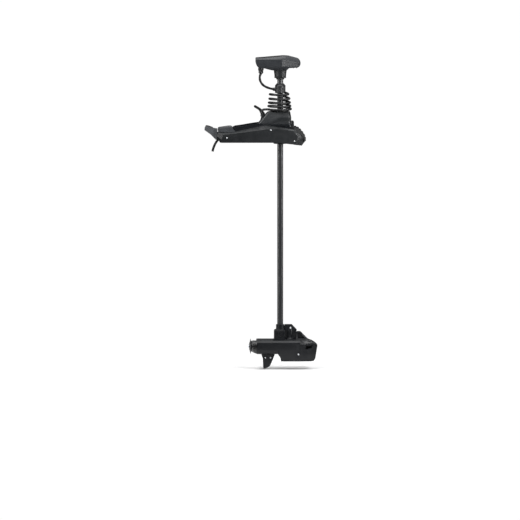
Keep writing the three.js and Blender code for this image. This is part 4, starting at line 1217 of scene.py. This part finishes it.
# ---------------------------------------------------------------- servo hood
# height, X of the hood's -X edge and of its +X edge
HOOD_BACK = [(104, -138), (108, -138), (112, -136), (120, -128.5), (130, -119.5), (145, -107),
             (160, -95.5), (172, -86), (178, -79.5), (181, -75), (183, -69)]
HOOD_BOW = [(104, 61.5), (145, 61.5), (160, 58.2), (172, 54.6), (178, 52.4), (181, 50.6),
            (183, 47)]
HOOD_HEIGHTS = ([104 + 2.6 * i for i in range(28)]
                + [175.5, 177.2, 178.6, 179.8, 181.0, 182.0, 182.7, 183.2])
# shares of the length, closer together near both ends
HOOD_SHARES = ([0, .006, .015, .03, .045, .06, .08, .10] + [0.13 + 0.74 * i / 30 for i in range(31)]
               + [.90, .92, .94, .955, .97, .985, .994, 1])


def read_table(value, rows):
    """straight lines between rows of (place, result), level beyond both ends"""
    if value <= rows[0][0]:
        return rows[0][1]
    for (start, first), (end, last) in zip(rows, rows[1:]):
        if value <= end:
            return first + (last - first) * (value - start) / (end - start)
    return rows[-1][1]


def round_off(distance, radius):
    """how far a rounded corner falls back at that distance from its edge"""
    if distance >= radius:
        return 0.0
    return radius - math.sqrt(max(0.0, radius * radius - (radius - distance) ** 2))


def hood_half_width(x, z, back, bow):
    """widest at a crease that rises towards the bow, rounded at both ends and the top"""
    fold = 110 + 40 * smooth_step((x + 95) / 110)
    if z > fold:
        y = 48.6 - 9.5 * ((z - fold) / (183.5 - fold)) ** 1.15
    else:
        y = 48.6 - 4.6 * smooth_step((fold - z) / 24)
    y -= 1.19 * smooth_step((fold + 6 - z) / 12)
    y -= round_off(x - back, 11.0)
    y -= round_off(bow - x, 9.0)
    y -= round_off(184.2 - z, 5.0)
    return max(4.0, y)


def hood():
    rows = []
    for z in HOOD_HEIGHTS:
        back, bow = read_table(z, HOOD_BACK), read_table(z, HOOD_BOW)
        near = []
        for share in HOOD_SHARES:
            x = back + (bow - back) * share
            near.append((x, -hood_half_width(x, z, back, bow), z))
        rows.append(near + [(x, -y, z) for x, y, z in reversed(near)])
    part = loft("servo_hood", rows)
    cut(part, prism("cut", [(-135, 98), (-134.4, 113), (-78, 174.8), (-70, 178.2), (46, 178.2),
                            (50, 175), (57.5, 144), (57.5, 98)], -33, 33))
    cut(part, prism("cut", [(-112, 98), (-58, 98), (-58, 112.6), (-112, 112.6)], -46.2, 46.2))
    cut(part, drill("z", 27, 160, 200, 72))
    cut(part, swept("cut", catmull(TAIL, 8), 8.2, 20))
    piece(crease(part, 34), "servo", "cover_plastic", "servo_shroud", finish="satin_plastic")


hood()
trim = prism("hood_front_trim", [
    (61.2, 104.4), (66.6, 104.4), (66.6, 145), (60.5, 178), (57.5, 182), (50.5, 183.4),
    (53.5, 180), (58.6, 160), (61.2, 146)], -35, 35, [1, 2, 8, 4, 4, 1, 2, 6, 6], 4)
piece(bevel(trim, 1.6, 3, 34), "servo", "black_plastic")
latch = prism("front_latch_block", [(67, 80), (67, 126), (79, 126), (83.2, 119), (84, 80)],
              -24, 24, [1.5, 2, 3, 4, 2], 4)
join(latch, block(60.8, 69, -24, 24, 82, 104.1))
cut(latch, block(72, 90, -3.6, 3.6, 84, 116), block(75.5, 90, -17.5, 17.5, 88, 92))
piece(bevel(latch, 1.1, 3, 34), "servo", "black_plastic", "front_block")

# ---------------------------------------------------------------- clamp lever
LEVER_PIVOT = (-113, 0, 156)
lever = prism("lever_arm", [
    (-106, 152), (-103.6, 162), (-101.6, 171), (-105, 186), (-111, 195), (-121, 203.6),
    (-139, 214.5), (-149, 220.6), (-157, 221), (-160.6, 215), (-158, 209), (-146, 201.5),
    (-132, 193), (-123.5, 181), (-118.6, 168), (-120, 160), (-119, 152), (-113, 149)],
    -7.4, 7.4, [4, 6, 10, 12, 10, 12, 20, 6, 5, 5, 4, 12, 12, 14, 8, 5, 4, 4])
cut(lever, drill("y", 3.2, -12, 12, 32, LEVER_PIVOT))
piece(bevel(lever, 2.4, 4, 34), "lever", "black_plastic", "clamp_lever")
clevis = prism("lever_clevis", [
    (-121.5, 132), (-117, 142), (-116.4, 154), (-117.4, 166), (-125, 182), (-127, 191),
    (-119, 194), (-104, 186), (-91, 170), (-96.4, 162), (-120, 132)],
    -13.6, 13.6, [1, 6, 8, 10, 10, 4, 4, 8, 4, 1, 1], 4)
cut(clevis, block(-132, -85, -8.4, 8.4, 100, 200))
piece(bevel(clevis, 1.0, 3, 34), "servo", "black_plastic", "lever_bracket")
piece(turned("lever_pin_fine", [
    (0, -15), (2.7 - 0.5, -15), (2.7, -14.5), (2.7, 14.5), (2.7 - 0.5, 15), (0, 15)],
    axis="y", at=LEVER_PIVOT, sides=32), "servo", "stainless")

# ---------------------------------------------------------------- head case
# each row: X, then three (Y, Z) points up the far side, mirrored to the near side
LOWER_CASE = [
    (-150.2, (56, 490), (57.6, 496), (58.8, 502.5)),
    (-146.6, (55, 475), (58.5, 487), (60.4, 502.6)),
    (-141.0, (53, 463), (57.6, 474), (61.8, 502.6)),
    (-128.8, (49, 449.4), (57, 463), (62.6, 502.6)),
    (-98, (52, 447.8), (58.5, 459), (64, 502.6)),
    (-40, (54, 447.6), (59.5, 459), (65, 502.7)),
    (7, (54, 447.6), (59.5, 459), (65, 502.7)),
    (14, (53.2, 447.7), (58.7, 459), (64.0, 502.4)),
    (32, (47, 448.0), (52.6, 459), (58.6, 501.2)),
    (104, (20, 450.2), (24.5, 457), (31.5, 484.6)),
    (114, (18, 455), (22.5, 463), (28.5, 483.0)),
    (119.6, (16, 463), (20, 470), (26, 482.4)),
    (121.6, (14, 471), (18, 476), (24, 482.2))]
# swelling under the case, round the shaft
FAIRING = [
    (-100, (18, 447.2), (20, 449), (20, 452)), (-84, (30, 443), (35, 448), (36, 452)),
    (-56, (36, 436.5), (42, 443), (44, 452)), (-44, (38, 434.8), (44, 441.5), (46, 452)),
    (36, (38, 434.8), (44, 441.5), (46, 452)), (46, (34, 440), (40, 446), (42, 452)),
    (52, (26, 446), (30, 448), (30, 452))]
UPPER_CASE = [
    (-150.2, (58.8, 502.9), (56, 504.2), (52, 505.4)),
    (-145, (60.8, 503), (56.5, 506), (50.5, 508.2)),
    (-100, (64, 503), (60, 507.8), (52, 511.2)),
    (-30, (65, 503.1), (59.5, 512), (50, 517.4)),
    (7, (65, 503.1), (58.5, 514.5), (49.5, 520.6)),
    (14, (64.0, 502.8), (57.6, 514.5), (49, 521)),
    (32, (58.6, 501.6), (53, 513.2), (46, 521)),
    (50, (52, 497.3), (46.5, 509), (40, 519.6)),
    (102, (32.2, 485.6), (27, 496.5), (20, 507.5)),
    (112, (29, 483.8), (24.6, 492.5), (18, 502)),
    (119, (26.2, 482.9), (22, 487), (15, 492)),
    (121.4, (24, 482.6), (20, 484.4), (14, 486.4))]
BUTTON_AT = (30, 0, 0)


def case_loft(name, rows):
    return loft(name, [[(x, -y, z) for y, z in half] + [(x, y, z) for y, z in reversed(half)]
                       for x, *half in rows], smooth=False)


def screen_z(x):
    """height of the sloping top that carries the display"""
    return 507.2 + (521 - 507.2) * (x + 146) / 160.0


def screen_slab(name, xs, half, lifts):
    return hull(name, [(x, y, screen_z(x) + lift)
                       for x in xs for y in (-half, half) for lift in lifts])


lower_case = case_loft("head_case_lower", LOWER_CASE)
join(lower_case, case_loft("cut", FAIRING))
cut(lower_case, drill("z", TUBE_HOLE, 430, 462, 72),
    drill("z", 9, 440, 458, 40, (HEAD_CABLE_X, 0, 0)))
flatten(lower_case, 0.5)
# the head's lighter skin paints the light on its sides
piece(bevel(lower_case, 2.4, 4, 13), "shaft", "satin_plastic", "head_lower_shell",
      finish="head_skin_painted_light")
upper_case = case_loft("head_case_upper", UPPER_CASE)
cut(upper_case, screen_slab("cut", (-130, -3), 45, (-2.0, 9)),
    drill("z", 8.2, 512, 535, 48, BUTTON_AT))
flatten(upper_case, 0.5)
# the head's lighter skin paints the light on its sides
piece(bevel(upper_case, 1.8, 4, 13), "shaft", "satin_plastic", "head_upper_shell",
      finish="head_skin_painted_light")
display = screen_slab("display_window", (-129.4, -3.6), 44.4, (-1.9, 0.1))
piece(bevel(display, 0.7, 3, 30), "shaft", "display_glass", "display_panel")


def display_bezel():
    """flat frame lying on the display"""
    outer = rounded(rectangle(-126, -7, -41, 41), 4, 4)
    inner = rounded(rectangle(-122, -11, -37, 37), 3, 4)
    n = len(outer)
    verts = [spot(x, y, screen_z(x) + lift) for lift in (0.15, 0.65) for x, y in outer + inner]
    faces = []
    for k in range(n):
        j = (k + 1) % n
        faces += [(k, j, n + j, n + k), (2 * n + k, 3 * n + k, 3 * n + j, 2 * n + j),
                  (k, 2 * n + k, 2 * n + j, j), (n + k, n + j, 3 * n + j, 3 * n + k)]
    return new_object("display_bezel", verts, faces, smooth=False)


piece(bevel(display_bezel(), 0.2, 2, 40), "shaft", "black_plastic")
button = turned("button_cap", [
    (0, 516.2), (8.0, 516.2), (8.0, 518.6), (7.0, 519.2), (7.0, 521.6), (6.2, 522.6),
    (3.2, 522.4), (0, 522.2)], at=BUTTON_AT, sides=56)
piece(crease(button, 40), "button", "black_plastic", "power_button")
nose_trim = prism("nose_trim", [
    (99, 509.2), (113, 501), (119.5, 491), (122.6, 482), (122.4, 470), (119, 461.5), (117, 463),
    (119.6, 471), (119.4, 481), (116, 489), (110, 497.5), (98, 505.5)],
    -17.5, 17.5, [1, 6, 6, 6, 6, 1, 1, 5, 5, 5, 5, 1], 4)
piece(bevel(nose_trim, 1.0, 3, 32), "shaft", "black_plastic")
for i, (x, y) in enumerate(((81, -19), (99, -17), (81, 19), (99, 17))):
    piece(turned("head_foot_%d" % (i + 1), [
        (0, 446.6), (1.8, 446.6), (2.6, 447.4), (3.0, 451.5), (0, 451.5)],
        at=(x, y, 0), sides=28), "shaft", "pad_rubber")
for i, place in enumerate(((-112, 34, 0.8), (-112, -34, 0.8), (70, 0, 1.6))):
    piece(turned("case_screw_%d" % (i + 1), [
        (0, 446.3), (1.4, 446.9), (1.8, 446.3), (3.2, 446.3), (3.6, 447), (3.6, 451), (0, 451)],
        at=place, sides=28), "shaft", "stainless")

# ---------------------------------------------------------------- carried-over CAD nodes
# the slot of every CAD node, whether or not a piece above stands for it
NODES_BY_SLOT = {
    "frame_alloy": "base_frame",
    "black_plastic": "channel_tray front_block lower_bushing lever_bracket clamp_lever "
                     "coil_base_ring seal_ring cable_gland power_button transducer_element",
    "stainless": "pivot_pin pedal_pin push_rod upper_bearing steering_motor front_bearing "
                 "rotor_shaft prop_nut cover_screw_1 cover_screw_2 cover_screw_3 cover_screw_4",
    "nylon": "pivot_bushing_left pivot_bushing_right drive_gear",
    "cable_jacket": "power_cable coil_tail coil_cord loop_cable",
    "cover_plastic": "left_side_cover right_side_cover servo_shroud depth_collar head_socket",
    "pad_rubber": "left_ramp_pad right_ramp_pad pedal_tread",
    "satin_plastic": "stern_end_cap saddle_block foot_pedal head_lower_shell head_upper_shell",
    "cast_alloy": "lock_pawl servo_chassis steering_sleeve",
    "circuit": "control_board head_board",
    "brass": "steering_pinion",
    "shaft_composite": "shaft_tube",
    "display_glass": "display_panel",
    "painted_alloy": "lower_bracket bracket_bolt bracket_plate motor_housing rear_end_bell "
                     "skeg nose_shell",
    "winding": "stator",
    "prop_plastic": "propeller",
}
SLOT_OF = {node: slot for slot, names in NODES_BY_SLOT.items() for node in names.split()}
# slots shown in another material
CARRIED_FINISH = {"cast_alloy": "frame_alloy"}
# bevel widths in mm
EDGE = {"base_frame": 0.8, "servo_chassis": 1.0, "channel_tray": 0.6, "lock_pawl": 0.8,
        "stern_end_cap": 1.2, "front_block": 1.2, "lower_bushing": 0.8, "lever_bracket": 0.8,
        "steering_sleeve": 0.5, "front_bearing": 0.5, "upper_bearing": 0.5}


def carry(node, part):
    """keeps a CAD node, with its facets welded, some edges broken and its own finish"""
    slot = SLOT_OF[node]
    dress(part, slot, CARRIED_FINISH.get(slot))
    add_modifier(part, "weld", "WELD", merge_threshold=0.00001)
    add_modifier(part, "plane", "DECIMATE", decimate_type="DISSOLVE",
                 angle_limit=math.radians(1.5))
    if node in EDGE:
        add_modifier(part, "edge", "BEVEL", width=EDGE[node] / 1000, segments=2,
                     limit_method="ANGLE", angle_limit=math.radians(28))
    add_modifier(part, "normals", "WEIGHTED_NORMAL", keep_sharp=True)


for node, part in NODES.items():
    if not part.hide_render:
        carry(node, part)

# ---------------------------------------------------------------- floor
FLOOR_Z = CAD_BOX[0][2] - 0.0005
WHITE = (1, 1, 1, 1)
BACKDROP_GLOW = 1.02      # what the camera sees beyond the floor


def floor_material():
    """pale and matt under the product; far off it glows to the camera and is dark to light"""
    nodes = Material("pale_floor")
    mottled = nodes.mix(nodes.remap(nodes.noise(scale=5, detail=4), (0.3, 0.7), (0, 1)),
                        (0.69, 0.69, 0.695), (0.72, 0.72, 0.72))
    grain = nodes.bump(nodes.noise(scale=500, detail=2), strength=0.05, distance=0.0002)
    matt = nodes.add("ShaderNodeBsdfDiffuse", {"Color": mottled, "Normal": grain}).outputs[0]
    glow = nodes.add("ShaderNodeEmission",
                     {"Color": WHITE, "Strength": BACKDROP_GLOW}).outputs[0]
    position = nodes.add("ShaderNodeNewGeometry").outputs["Position"]
    distance = nodes.add("ShaderNodeVectorMath", {
        0: position, 1: (SHAFT_X - 0.02, 0.05, FLOOR_Z)}, operation="DISTANCE")
    far_off = nodes.remap(distance.outputs["Value"], (0.45, 1.3), (0.0, 1.0))
    camera_ray = nodes.add("ShaderNodeLightPath").outputs["Is Camera Ray"]
    dark = nodes.add("ShaderNodeBsdfDiffuse", {"Color": (0.06, 0.06, 0.06, 1)}).outputs[0]
    nodes.surface(nodes.choose(far_off, matt, nodes.choose(camera_ray, dark, glow)))


grid = bmesh.new()
bmesh.ops.create_grid(grid, x_segments=8, y_segments=8, size=30)
floor = from_bmesh("floor", grid)
floor.location = (SHAFT_X, 0, FLOOR_Z)
floor_material()
floor.data.materials.append(MATERIALS["pale_floor"])

# ---------------------------------------------------------------- world
world = bpy.data.worlds.new("studio")
bpy.context.scene.world = world
world.use_nodes = True
sky = Graph(world.node_tree)
direction = sky.add("ShaderNodeTexCoord").outputs["Generated"]
upward = sky.add("ShaderNodeSeparateXYZ", {0: direction}).outputs["Z"]
# light grows from the horizon to overhead; the camera sees plain white
sky_strength = sky.remap(upward, (0.12, 0.9), (0.075, 0.66), interpolation_type="SMOOTHSTEP")
soft_sky = sky.add("ShaderNodeBackground", {"Color": WHITE, "Strength": sky_strength})
clear_sky = sky.add("ShaderNodeBackground", {"Color": WHITE, "Strength": BACKDROP_GLOW})
camera_ray = sky.add("ShaderNodeLightPath").outputs["Is Camera Ray"]
sky.add("ShaderNodeOutputWorld", {
    "Surface": sky.choose(camera_ray, soft_sky.outputs[0], clear_sky.outputs[0])})

# ---------------------------------------------------------------- lights and camera, in metres
CENTRE = Vector((SHAFT_X - 0.1225, 0, -0.7215))


def aim(item, target):
    item.rotation_euler = (target - item.location).to_track_quat("-Z", "Y").to_euler()


# name, place and target from the centre, watts, width, height
LIGHTS = [
    ("top_box", (0.35, -0.3, 3.3), (0, 0, 0.3), 92, 3.4, 2.6),
    ("right_strip", (3.9, -0.9, 0.6), (0, 0, 0), 90, 0.5, 3.6),
    ("left_strip", (-4.1, -2.2, 0.6), (0, 0, 0), 115, 0.6, 3.6),
    ("front_fill", (-1.0, -2.7, 2.3), (0, 0, 0.7), 11, 1.6, 1.0),
    ("left_top", (-2.0, -2.1, 2.9), (0, 0, 0.8), 85, 1.3, 1.3),
    ("kicker", (1.05, -1.25, 0.95), (0.27, 0, -0.5), 24, 0.5, 0.5)]
for name, place, target, power, width, height in LIGHTS:
    light = bpy.data.lights.new(name, "AREA")
    light.shape = "RECTANGLE"
    light.size, light.size_y = width, height
    light.energy = power
    lamp = bpy.data.objects.new(name, light)
    lamp.location = CENTRE + Vector(place)
    aim(lamp, CENTRE + Vector(target))
    lamp.visible_camera = False
    bpy.context.scene.collection.objects.link(lamp)

CAMERA_RISE = math.radians(6.1)
CAMERA_DISTANCE = 50.0
VIEW_WIDTH = 3.154        # across the view at the centre
SENSOR = 36

camera_data = bpy.data.cameras.new("camera")
camera = bpy.data.objects.new("camera", camera_data)
bpy.context.scene.collection.objects.link(camera)
camera.location = CENTRE + Vector((0, -CAMERA_DISTANCE * math.cos(CAMERA_RISE),
                                   CAMERA_DISTANCE * math.sin(CAMERA_RISE)))
aim(camera, CENTRE)
camera_data.sensor_width = SENSOR
camera_data.lens = SENSOR * CAMERA_DISTANCE / VIEW_WIDTH
camera_data.clip_start = 1.0
camera_data.clip_end = 200
bpy.context.scene.camera = camera
view = bpy.context.scene.view_settings
view.view_transform = "Standard"
view.look = "None"
view.exposure = 0.0
